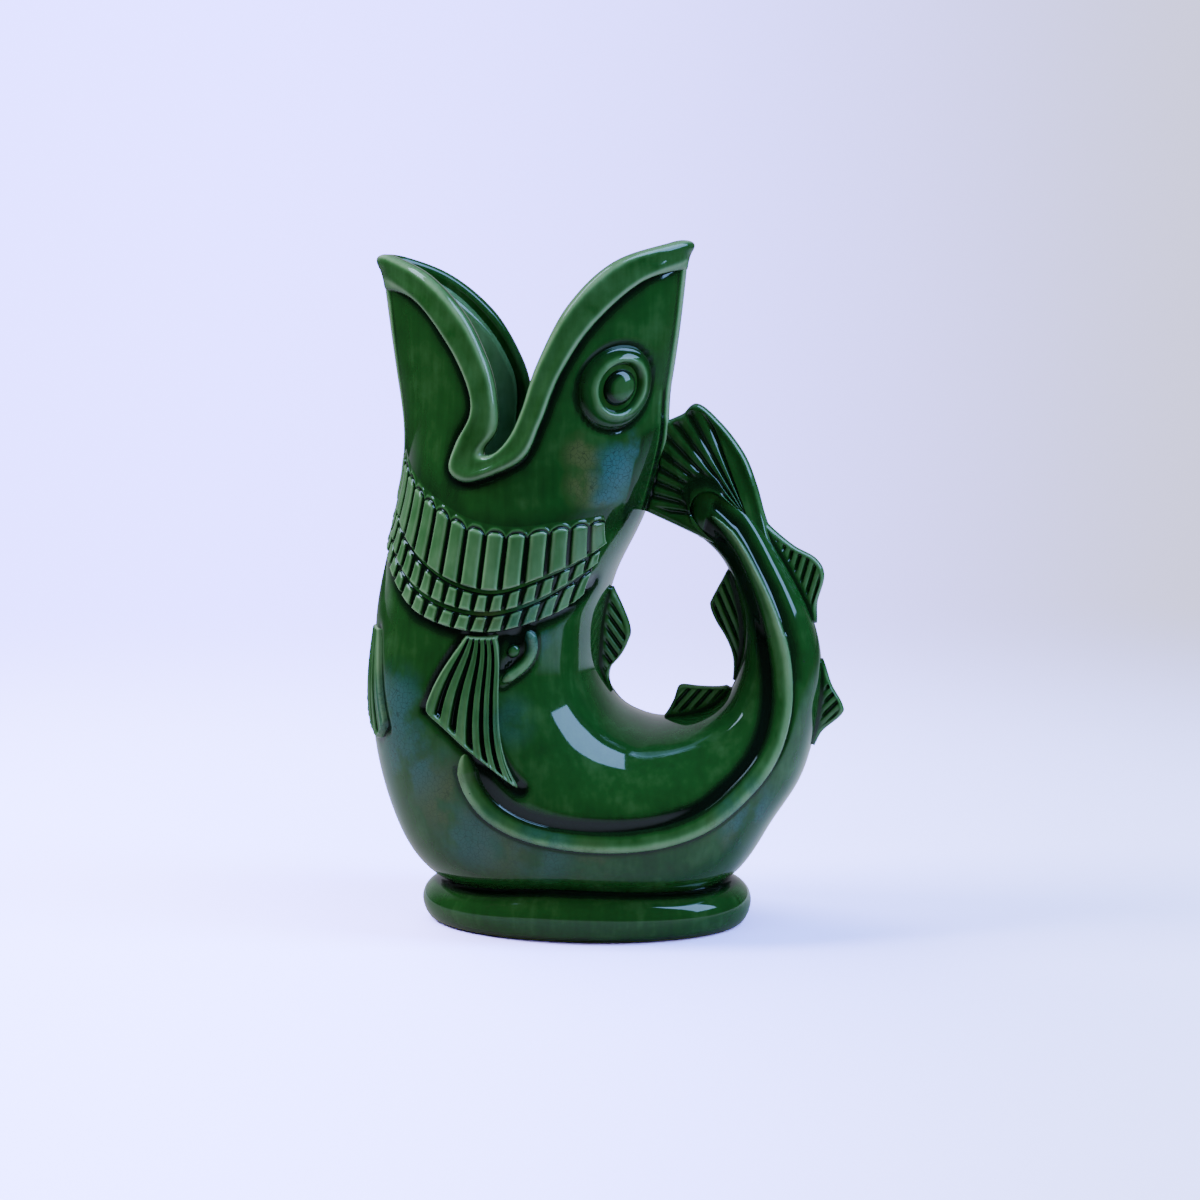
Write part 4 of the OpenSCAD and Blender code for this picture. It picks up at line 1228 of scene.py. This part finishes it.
@dataclass
class BellyFin(Part):
    """A fin that lies on the belly: ridged rays that fan out, with wedges cut between them.

    Root and edge run from the fin's front side to its back side. A place is u across the rays
    and v from the root at 0 to the free edge at 1, both a little past these. Share scales the
    relief, and the back side bows out by bow_mm. The wedges take the shares wedge of a ray at
    the root and at the edge, and end within end_mm of the edge and side_mm of the sides.
    """

    name: str
    root: Array
    edge: Array
    rays: int
    share: float = 1
    bow_mm: float = 0
    height: float = 2.6
    depth: float = 2.0
    u_range: Pair = (-0.02, 1.02)
    v_range: Pair = (-0.03, 1.02)
    wedge: Pair = (0.24, 0.29)
    end_mm: Pair = (1.6, 3.4)
    side_mm: Pair = (0.6, 1.6)
    corner_mm: float = 3.0
    round_mm: float = 1.3
    base_mm: float = 0.6
    sink_mm: float = 0.9
    under_mm: float = 1.8
    columns: int = 170
    rows: int = 190

    def places(self, u: Array, v: Array) -> tuple[Array, Array]:
        """Stations and angles of places in the fin."""
        within = np.clip(u, 0, 1)
        at = within * (len(self.root) - 1)
        root, edge = curve(self.root, at), curve(self.edge, at)
        station = mix(root[..., 0], edge[..., 0], v)
        past = (u - within) * (self.edge[-1, 1] - self.edge[0, 1]) * mix(0.7, 1, v)
        angle = mix(root[..., 1], edge[..., 1], v) + past
        bow = self.bow_mm * u * np.sin(np.pi * np.clip(v, 0, 1) ** 0.8)
        return station, angle - bow / self.form.lengths(station, angle)[1]

    def build(self) -> None:
        """Works out the relief and makes it on each side, with round edges and corners."""
        f = self.form
        u = np.linspace(*self.u_range, self.columns)[None]
        v = np.linspace(*self.v_range, self.rows)[:, None]
        station, angle = self.places(u, v)
        points = f.skin(station, angle)
        across = np.linalg.norm(points[:, -1] - points[:, 0], axis=-1)[:, None]
        along = np.linalg.norm(points[-1] - points[0], axis=-1)[None]
        side, free = np.minimum(u, 1 - u) * across, (1 - v) * along
        from_middle = np.abs((np.clip(u, 0, 1) ** 0.9 * self.rays) % 1 - 0.5)
        wedge = mix(*self.wedge, v)
        cut = smooth(0.5 - wedge, 0.5 - wedge * 0.35, from_middle) * smooth(*self.end_mm, free)
        cut = cut * smooth(-0.03, 0.03, v) * smooth(*self.side_mm, side)
        high = self.height * mix(0.6, 1.0, v) + 0.35 * ridge(free, 1.3, 0.9)
        rise = self.share * (high - self.depth * cut * mix(0.75, 1, v))
        rise = rise + 0.2 * ridge(from_middle, 0.46 - wedge, 0.07)
        r = self.corner_mm
        border = r - np.hypot(r - np.minimum(side, r), r - np.minimum(free, r))
        border = np.minimum(border, (v - self.v_range[0]) * along)
        rise = (rise + self.base_mm) * rounded(border, self.round_mm) - self.base_mm
        rise = rise - self.sink_mm * smooth(0, 0.8, -border)
        pool = mix(-0.2, 0.62, cut) - 0.2 * ridge(cut, 0.18, 0.16) - 0.3 * ridge(border, 0.5, 0.5)
        pool = pool + 0.1 * (1 - v)
        shape = laid(f, (station, angle), rise, pool, self.under_mm, strips=3)
        make_pairs(self.finish, (self.name, shape))


@dataclass
class Bead:
    """A raised line that follows places over the skin.

    The section's rows say how far from the line a point lies, in half widths, and its share of
    the height, or millimetres where it is below the skin. The seven values of pools run from
    -1.5 to 1.5 half widths. Both ends taper, and the last slim_n places slim to half.
    """

    form: FishForm
    places: Array
    width: float
    height: float
    section: Array
    pools: Array
    steps: int
    across: int = 36
    slim_n: float = 0.01
    taper_n: float = 1.2
    even_passes: int = 4
    under_mm: float = 1.6

    def shape(self) -> Shape:
        """Carries the section along the line, at right angles to its way on the skin."""
        last = len(self.places) - 1
        t = np.linspace(0, last, last * self.steps + 1)
        p, way = line_way(self.form, self.places, t)
        way = np.hstack([blurred(part, self.even_passes) for part in np.hsplit(way, 2)])
        taper = np.minimum(1, 0.12 + 1.2 * np.sqrt(np.minimum(t, last - t) / self.taper_n))
        taper = (taper * (1 - 0.5 * smooth(last - self.slim_n, last, t)))[:, None]
        b = curve(self.section, np.linspace(0, len(self.section) - 1, self.across))
        off = b[:, 0] * self.width / 2 * taper
        rise = np.where(b[:, 1] > 0, b[:, 1] * self.height * taper, b[:, 1])
        pool = np.broadcast_to(curve(self.pools, b[:, 0] * 2 + 3)[None], rise.shape)
        under = off[:, [0, self.across // 2, self.across - 1]]
        top, low = (self.form.spot(p[:, :1], p[:, 1:], -way[:, 1:] * out, way[:, :1] * out, high)
                    for out, high in ((off, rise), (under, -self.under_mm)))
        return patch(top, pool, low)


@dataclass
class FlankLine(Part):
    """The raised line along the flank and up the tail, and the small flap beside the fin.

    The flap is a short curved bead and a boss, whose values are its place, radius and height.
    """

    line_section: Array = table(
        (1.25, -0.8), (1.05, 0.12), (0.75, 0.34), (0.3, 0.62), (-0.2, 0.86), (-0.62, 1.0),
        (-0.86, 0.8), (-1.0, 0.3), (-1.15, -0.8))
    # Across the line the glaze is pale on its crest, and dark on its side towards the hole: that
    # dark side is painted shade.
    line_pools_and_shade: Array = table(0.5, -0.25, -0.5, -0.14, -0.04, 0.35, 0.7)
    flap_section: Array = table(
        (1.2, -0.7), (1, 0.15), (0.7, 0.75), (0.3, 1), (-0.3, 1), (-0.7, 0.75), (-1, 0.15),
        (-1.2, -0.7))
    flap_pools: Array = table(0.7, 0.1, -0.3, -0.38, -0.3, 0.1, 0.7)
    boss: tuple[float, ...] = (8.62, 66, 2.2, 1.5)
    boss_sink: Pair = (0.95, 1.15)

    def dome(self) -> Shape:
        """The boss: a dome whose border, between the shares boss_sink of its radius, sinks in."""
        station, angle, radius, height = self.boss
        sink_from, sink_to = (radius * share for share in self.boss_sink)
        r = np.linspace(sink_to, 0.1, 14)[:, None]
        turn = np.linspace(0, 2 * np.pi, 36, endpoint=False)[None]
        rise = height * np.sqrt(np.maximum(0, 1 - (r / radius) ** 2))
        rise = rise - 0.8 * smooth(sink_from, sink_to, r)
        points = self.form.spot(station, angle, r * np.cos(turn), r * np.sin(turn), rise)
        return looped(points, 0.35 - 0.5 * rise / height + 0 * turn)

    def build(self) -> None:
        """Makes the line and the flap on each side."""
        line = Bead(self.form, PLACES.line, width=7, height=2.3, section=self.line_section,
                    pools=self.line_pools_and_shade, steps=26, slim_n=6).shape()
        flap = Bead(self.form, PLACES.flap, width=4.3, height=2.2, section=self.flap_section,
                    pools=self.flap_pools, steps=14, across=26).shape()
        make_pairs(self.finish, ("lateral_line", line), ("gill_flap", flap.joined(self.dome())))


# ---------------------------------------------------------------------------------------------
# Fins that stand on the middle plane


def grooves(place: Array, width: float) -> Array:
    """The grooves between rays that are 1 apart: 1 in the middle of each, 0 on the rays."""
    return 1 - smooth(0, width, 0.5 - np.abs(place % 1 - 0.5))


@dataclass
class TailFin(Part):
    """The ribbed fan that bridges the tail's round end and the back of the head.

    Its rays spread from fan_from in steps of fan_step_deg, the first at fan_deg. Its outer table
    runs from the head, over the first joint_n rows, and then along the free edge.
    """

    thick: float = 9
    edge_thick: float = 3.6
    depth: float = 0.935
    columns: int = 320
    rows: int = 110
    fan_from: Pair = (58.8, 148.1)
    fan_deg: float = 112
    fan_step_deg: float = 8.0
    fan_fade_deg: float = 3
    groove_width: float = 0.40
    tube_tip: Pair = (42.5, 156.0)
    bare_mm: Pair = (6.0, 9.5)
    root_stations: Pair = (25.4, 24.1)
    root_in: float = 2.5
    side_share: float = 0.3
    head_in: float = 1.2
    joint_n: int = 3
    strip_mm: Pair = (1.6, 4.6)
    strip_from: Pair = (0.38, 0.66)
    side_strip_mm: float = 3.2
    soft_mm: float = 0.9
    round_mm: float = 2.0
    outer: Array = table(
        (-0.085, 0.481), (-0.055, 0.590), (-0.028, 0.700), (0.016, 0.762), (0.079, 0.832),
        (0.161, 0.773), (0.241, 0.670), (0.283, 0.569), (0.310, 0.473), (0.342, 0.383))

    def inner_edge(self, u: Array) -> Array:
        """Points inside the tail's end: as u goes from 0 to 1, from its back over its tip on."""
        f = self.form
        way = 1 - np.abs(2 * u - 1)
        on_tip = way > self.side_share
        turn = np.where(on_tip, 90 * (way - self.side_share) / (1 - self.side_share), 0)
        root = np.where(u < 0.5, *self.root_stations)
        station = np.where(on_tip, f.tube_end_n, mix(root, f.tube_end_n, way / self.side_share))
        return f.round_end(station, np.radians(turn), np.where(u < 0.5, 0, 180), -self.root_in)

    def outer_edge(self, u: Array) -> Array:
        """Points of the outer edge: first down in the back of the head, then free."""
        f = self.form
        place = u * (len(self.outer) - 1)
        p = curve(self.outer, place) * f.belly_reach
        z = f.hole_z + p[:, 1]
        at = (f.jug_h - z) / (f.jug_h - f.hole_z) * f.head_n
        on_head = f.skin(at, 0, f.keel(at, 0))[:, 0] - self.head_in
        x = mix(on_head, f.hole_x + p[:, 0], smooth(self.joint_n, self.joint_n + 0.5, place))
        return np.stack([x, 0 * u, z], -1)

    def build(self) -> None:
        """Spans rows from the tail's end to the outer edge, and cuts the grooves in them.

        The grooves keep clear of the tail's tip, and of a strip of strip_mm along the free edge,
        wider towards the front. Where the fin joins the head it has no edge but a seam.
        """
        u = np.linspace(0, 1, self.columns)
        v = np.linspace(0, 1, self.rows)[:, None]
        inner, outer = self.inner_edge(u), self.outer_edge(u)
        middle = mix(inner[None], outer[None], v[..., None])
        steps = np.diff(middle, axis=1, append=middle[:, -1:])
        far = (1 - v) * np.linalg.norm(outer - inner, axis=1)[None]
        side = np.minimum(u, 1 - u)[None] * np.linalg.norm(steps, axis=2).sum(1)[:, None]
        joint = self.joint_n / (len(self.outer) - 1)
        free = smooth(joint - 0.012, joint + 0.02, u)[None]
        rim = np.minimum(far + 30 * (1 - free), side)
        strip = mix(*self.strip_mm, smooth(*self.strip_from, u))[None]
        inwards = np.minimum(far + 9 * (1 - free), side + strip - self.side_strip_mm)
        plane = middle[:, :, [0, 2]]
        to_tip = np.linalg.norm(plane - np.array(self.tube_tip), axis=2)
        window = smooth(strip - self.soft_mm, strip + self.soft_mm, inwards)
        window = window * smooth(*self.bare_mm, to_tip) * mix(smooth(0.9, 2.2, far), 1, free)
        fan = plane - np.array(self.fan_from)
        turned = np.degrees(np.arctan2(fan[..., 1], fan[..., 0])) - self.fan_deg
        groove = grooves(turned / self.fan_step_deg, self.groove_width)
        groove = groove * smooth(-self.fan_fade_deg, 0, turned)
        hollow = ridge(to_tip, 5.0, 3.0) * smooth(0.05, 0.3, v)
        seam = ridge(far, 1.6, 0.7) * (1 - free)
        half = mix(self.thick, self.edge_thick, v**1.5) / 2 + 0.3 * ridge(rim, 1.9, 1.2) * free
        half = half - self.depth * groove * window - 0.5 * seam - 0.35 * hollow
        pool = 0.08 + (0.32 * groove**1.5 - 0.1 * ridge(groove, 0.0, 0.3)) * window
        pool += 0.3 * hollow + 0.5 * seam - 0.3 * ridge(rim, 0.8, 0.8)
        shape = blade(middle, half * rounded(rim, self.round_mm), pool)
        make_piece("tail_fin_glazed", shape, self.finish, "tail_fin", weld=True)


@dataclass
class SmallFin(Part):
    """A small ribbed fin that stands on the fish's front line or back line.

    Its rays lie at ray_deg to the table and pitch millimetres apart, and the rows of edge give
    the station and the height, as a share of fin_h, along its free edge.
    """

    name: str
    root: Pair
    angle: float
    ray_deg: float
    edge: Array
    pitch: float = 3.1
    groove_width: float = 0.36
    depth: float = 1.21
    fin_h: float = 13
    thick: float = 6.75
    edge_thick: float = 3.6
    root_in: float = 1.2
    round_mm: float = 1.8
    columns: int = 150
    rows: int = 60

    def build(self) -> None:
        """Spans rows from inside the wall to the free edge, and cuts the grooves in them."""
        u = np.linspace(0, 1, self.columns)[None]
        v = np.linspace(0, 1, self.rows)[:, None]
        e = curve(self.edge, u * (len(self.edge) - 1))
        station = mix(mix(*self.root, u), e[..., 0], v)
        high = np.maximum(0.4, e[..., 1] * self.fin_h)
        middle = self.form.skin(station, self.angle, mix(-self.root_in, high, v))
        middle = middle * np.array([1, 0, 1])
        length = np.linalg.norm(np.diff(middle[-1], axis=0), axis=1).sum()
        from_root = v * (high + self.root_in)
        rim = np.minimum((1 - v) * (high + self.root_in), np.minimum(u, 1 - u) * length)
        ray = np.radians(self.ray_deg)
        across = middle[..., 0] * np.sin(ray) - middle[..., 2] * np.cos(ray)
        groove = grooves(across / self.pitch, self.groove_width)
        window = smooth(1.5, 2.4, rim) * smooth(2.0, 4.2, from_root)
        half = mix(self.thick, self.edge_thick, v) / 2 - self.depth * groove * window
        pool = (0.5 * groove**1.5 - 0.18 * ridge(groove, 0.0, 0.3)) * window
        pool += 0.4 * ridge(from_root, 1.4, 1.0) - 0.28 * ridge(rim, 0.8, 0.7)
        shape = blade(middle, half * rounded(rim, self.round_mm), pool)
        make_piece(f"{self.name}_glazed", shape, self.finish, self.name, weld=True)


# ---------------------------------------------------------------------------------------------
# The studio


@dataclass(frozen=True)
class Lamp:
    """A soft rectangular panel of light that faces the jug, its long side along a given way."""

    name: str
    place: Triple
    along: Triple
    size: Pair
    power: float
    colour: str
    mirrored: bool = True
    aim: Triple = (0, 0, 0.1)

    def build(self) -> None:
        """Hangs the panel in its place. Where it isn't mirrored, the glaze shows no image of it."""
        data = bpy.data.lights.new(self.name, "AREA")
        data.shape, data.size, data.size_y = "RECTANGLE", *self.size
        data.energy, data.color = self.power, linear(self.colour)[:3]
        lamp = bpy.data.objects.new(self.name, data)
        back = (Vector(self.place) - Vector(self.aim)).normalized()
        up = back.cross(Vector(self.along)).normalized()
        turn = Matrix((up.cross(back), up, back)).transposed()
        lamp.matrix_world = Matrix.Translation(self.place) @ turn.to_4x4()
        lamp.visible_glossy = self.mirrored
        bpy.context.scene.collection.objects.link(lamp)


@dataclass(frozen=True)
class Studio:
    """A pale seamless paper sweep, a window panel above on the right, soft light, and the camera.

    The sweep is burnt out in the photograph, so it looks brighter to the camera than the light
    that it gives to the jug. Each span is the range of a measure, and what it is mapped onto.
    """

    azimuth_deg: float = 9
    elevation_deg: float = 6.863
    distance: float = 1.0
    target: Triple = (0.00508, 0.0, 0.11737)
    lens: float = 82.95
    sensor: float = 36
    clip: Pair = (0.05, 60)
    backdrop: tuple[Triple, ...] = ((2.7, 2.35, 11.0), (1.25, 1.23, 1.8))
    table_seen: tuple[Triple, ...] = ((1.95, 1.72, 5.2), (1.3, 1.22, 2.2))
    sweep_span: Pair = (-0.32, 0.08)
    glow: str = "#e9eaff"
    glow_from: Triple = (-0.2, 0.93, 0.3)
    glow_span: Span = (0.42, 1.0, 0.03, 0.75)
    table_half: float = 40.0
    fade_span: Pair = (0.3, 1.1)
    front_span: Span = (-0.8, 0.25, 0.08, 0.75)
    right_span: Span = (-0.5, 0.2, 0.2, 0.85)
    outer_span: Span = (0.4, 0.95, 1.0, 0.35)
    lamps: tuple[Lamp, ...] = (
        Lamp("window", (0.675, -0.103, 0.935), (1.059, -0.072, -0.767), (1.31, 0.44), 22,
             "#93c1ff"),
        Lamp("skylight", (-0.50, -0.05, 1.03), (-0.38, -0.36, -0.22), (0.62, 0.22), 5, "#bcdaff"),
        Lamp("key_left", (-1.15, -0.3, 1.2), (0, 1, 0), (0.6, 0.6), 32, "#f6f4ff", False),
        Lamp("back_left", (-0.9, 0.6, 1.35), (0, 1, 0), (1.1, 1.1), 20, "#f6f4ff", False),
        Lamp("fill_right", (1.15, -1.3, 0.75), (1, 0.9, 0), (1.2, 0.9), 18, "#fbf6f0", False))

    def viewpoint(self) -> Array:
        """Where the photograph was taken from."""
        az, el = math.radians(self.azimuth_deg), math.radians(self.elevation_deg)
        away = np.array([math.sin(az) * math.cos(el), -math.cos(az) * math.cos(el), math.sin(el)])
        return np.array(self.target) + away * self.distance

    def camera(self) -> None:
        """Puts the camera where the photograph was taken from."""
        data = bpy.data.cameras.new("camera")
        data.lens, data.sensor_width, data.sensor_height = self.lens, self.sensor, self.sensor
        data.clip_start, data.clip_end = self.clip
        camera = bpy.data.objects.new("camera", data)
        camera.location = self.viewpoint()
        tilt = math.pi / 2 - math.radians(self.elevation_deg)
        camera.rotation_euler = (tilt, 0, math.radians(self.azimuth_deg))
        bpy.context.scene.collection.objects.link(camera)
        bpy.context.scene.camera = camera

    def swept(self, tree: Tree, way: Socket, left: Triple, right: Triple) -> Socket:
        """A colour that falls off from the left to the right of the way that the camera looks."""
        x = add(tree, "SeparateXYZ", {"Vector": way}).outputs["X"]
        share = add(tree, "MapRange", (x, *self.sweep_span), **SOFT)
        colours = {0: share, 6: (*left, 1), 7: (*right, 1)}
        return add(tree, "Mix", colours, data_type="RGBA").outputs[2]

    def world(self) -> None:
        """Plain pale backdrop for the camera, and for the jug a room that is brighter behind it."""
        world = bpy.data.worlds.new("studio")
        bpy.context.scene.world = world
        world.use_nodes = True
        tree = world.node_tree
        tree.nodes.clear()
        way = add(tree, "TexCoord").outputs["Generated"]
        towards = add(tree, "VectorMath", (way, self.glow_from), operation="DOT_PRODUCT")
        room = add(tree, "MapRange", (towards.outputs["Value"], *self.glow_span), **SOFT)
        lit = add(tree, "Background", {"Color": linear(self.glow), "Strength": room})
        plain = self.swept(tree, way, *self.backdrop)
        plain = add(tree, "Background", {"Color": plain, "Strength": 1.0})
        seen = add(tree, "LightPath").outputs["Is Camera Ray"]
        add(tree, "OutputWorld", {"Surface": add(tree, "MixShader", (seen, lit, plain))})

    def paper(self) -> Material:
        """Matt paper: pale to the camera, grey to the glaze, and far out the backdrop's colour."""
        material = bpy.data.materials.new("matt_paper_sweep")
        material.use_nodes = True
        tree = material.node_tree
        tree.nodes.clear()
        where = add(tree, "TexCoord").outputs["Object"]
        x, y, _ = add(tree, "SeparateXYZ", {"Vector": where}).outputs
        grey = 1.0
        for place, ranges in ((y, self.front_span), (x, self.right_span), (x, self.outer_span)):
            part = add(tree, "MapRange", (place, *ranges), interpolation_type="LINEAR")
            grey = add(tree, "Math", (grey, part), operation="MULTIPLY")
        ray = add(tree, "VectorMath", (where, tuple(self.viewpoint())), operation="SUBTRACT")
        ray = add(tree, "VectorMath", (ray,), operation="NORMALIZE").outputs["Vector"]
        seen = add(tree, "LightPath").outputs["Is Camera Ray"]
        colours = {0: seen, 6: grey, 7: self.swept(tree, ray, *self.table_seen)}
        colour = add(tree, "Mix", colours, data_type="RGBA").outputs[2]
        near = add(tree, "BsdfDiffuse", {"Color": colour})
        haze = self.swept(tree, ray, *self.backdrop)
        haze = add(tree, "Emission", {"Color": haze, "Strength": 1.0})
        far = add(tree, "VectorMath", (where,), operation="LENGTH").outputs["Value"]
        away = add(tree, "MapRange", (far, *self.fade_span), **SOFT)
        away = add(tree, "Math", (away, seen), operation="MULTIPLY")
        add(tree, "OutputMaterial", {"Surface": add(tree, "MixShader", (away, near, haze))})
        return material

    def floor(self) -> None:
        """A large matt table that fades into the backdrop's colour far out."""
        mesh = bpy.data.meshes.new("table")
        far = self.table_half
        corners = [(-far, -far, 0), (far, -far, 0), (far, far, 0), (-far, far, 0)]
        mesh.from_pydata(corners, [], [(0, 1, 2, 3)])
        mesh.materials.append(self.paper())
        floor = bpy.data.objects.new("table", mesh)
        bpy.context.scene.collection.objects.link(floor)

    def build(self) -> None:
        """Sets up camera, world, table and lights."""
        self.camera()
        self.world()
        self.floor()
        for lamp in self.lamps:
            lamp.build()


# ---------------------------------------------------------------------------------------------
# The whole jug

# Each small fin's name, root, angle, ray_deg and edge.
SMALL_FINS = (
    ("outer_fin_upper", (21.9, 25.2), 180, 74,
     ((21.9, 0.08), (22.4, 0.30), (22.9, 0.78), (23.3, 0.80), (23.8, 0.47), (24.4, 0.24),
      (24.9, 0.16), (25.2, 0.04))),
    ("outer_fin_lower", (18.9, 21.0), 180, 45,
     ((18.9, 0.08), (19.3, 0.22), (19.8, 0.66), (20.0, 0.64), (20.4, 0.28), (21.0, 0.05))),
    ("inner_fin_body", (7.5, 11.2), 0, -55,
     ((7.5, 0.08), (7.95, 0.50), (8.4, 0.80), (8.7, 0.74), (9.4, 0.42), (10.3, 0.16),
      (11.2, 0.05))),
    ("inner_fin_upper", (19.6, 24.8), 0, -66,
     ((19.6, 0.06), (21.0, 0.24), (22.3, 0.52), (23.4, 0.80), (24.4, 1.00), (24.65, 0.86),
      (24.8, 0.10))),
    ("inner_fin_lower", (14.6, 19.2), 0, 49,
     ((14.6, 0.06), (15.2, 0.44), (15.9, 0.82), (17.0, 0.84), (18.2, 0.60), (19.2, 0.14))))


def jug_parts(*base: FishForm | Material) -> list[Part]:
    """Every part of the jug in order, each on the same base: the fish's form and the glaze.

    The collar has three rows of plates: long arched ones, and two rows of square ones.
    """
    at = PLACES
    arched, square = PlateStyle.ARCHED, PlateStyle.SQUARE
    fins = (SmallFin(*base, *row, np.array(edge)) for *row, edge in SMALL_FINS)
    return [
        Body(*base), Lip(*base), Foot(*base), Eye(*base),
        GillRow(*base, "upper", at.collar_top, at.collar_middle, count=15, style=arched,
                height=1.8, columns_each=34, rows=110, back_deg=(35.5, 28.5)),
        GillRow(*base, "middle", at.collar_middle, at.collar_lower, count=20, style=square,
                height=1.5, columns_each=26, rows=40, back_deg=(30.5, 30)),
        GillRow(*base, "lower", at.collar_lower, at.collar_end, count=18, style=square,
                height=1.5, columns_each=27, rows=40, back_deg=(30.5, 32.5)),
        BellyFin(*base, "pectoral_fin", at.pectoral_root, at.pectoral_edge, 6, bow_mm=4.5),
        BellyFin(*base, "ventral_fin", at.ventral_root, at.ventral_edge, 5, share=0.55),
        FlankLine(*base), TailFin(*base), *fins]


def main() -> None:
    """Loads the frame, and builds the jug's parts and the studio."""
    logging.basicConfig(level=logging.INFO, format="%(name)s %(message)s")
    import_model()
    for part in jug_parts(FORM, MajolicaGlaze().material()):
        part.build()
    Studio().build()


if __name__ == "__main__":
    main()
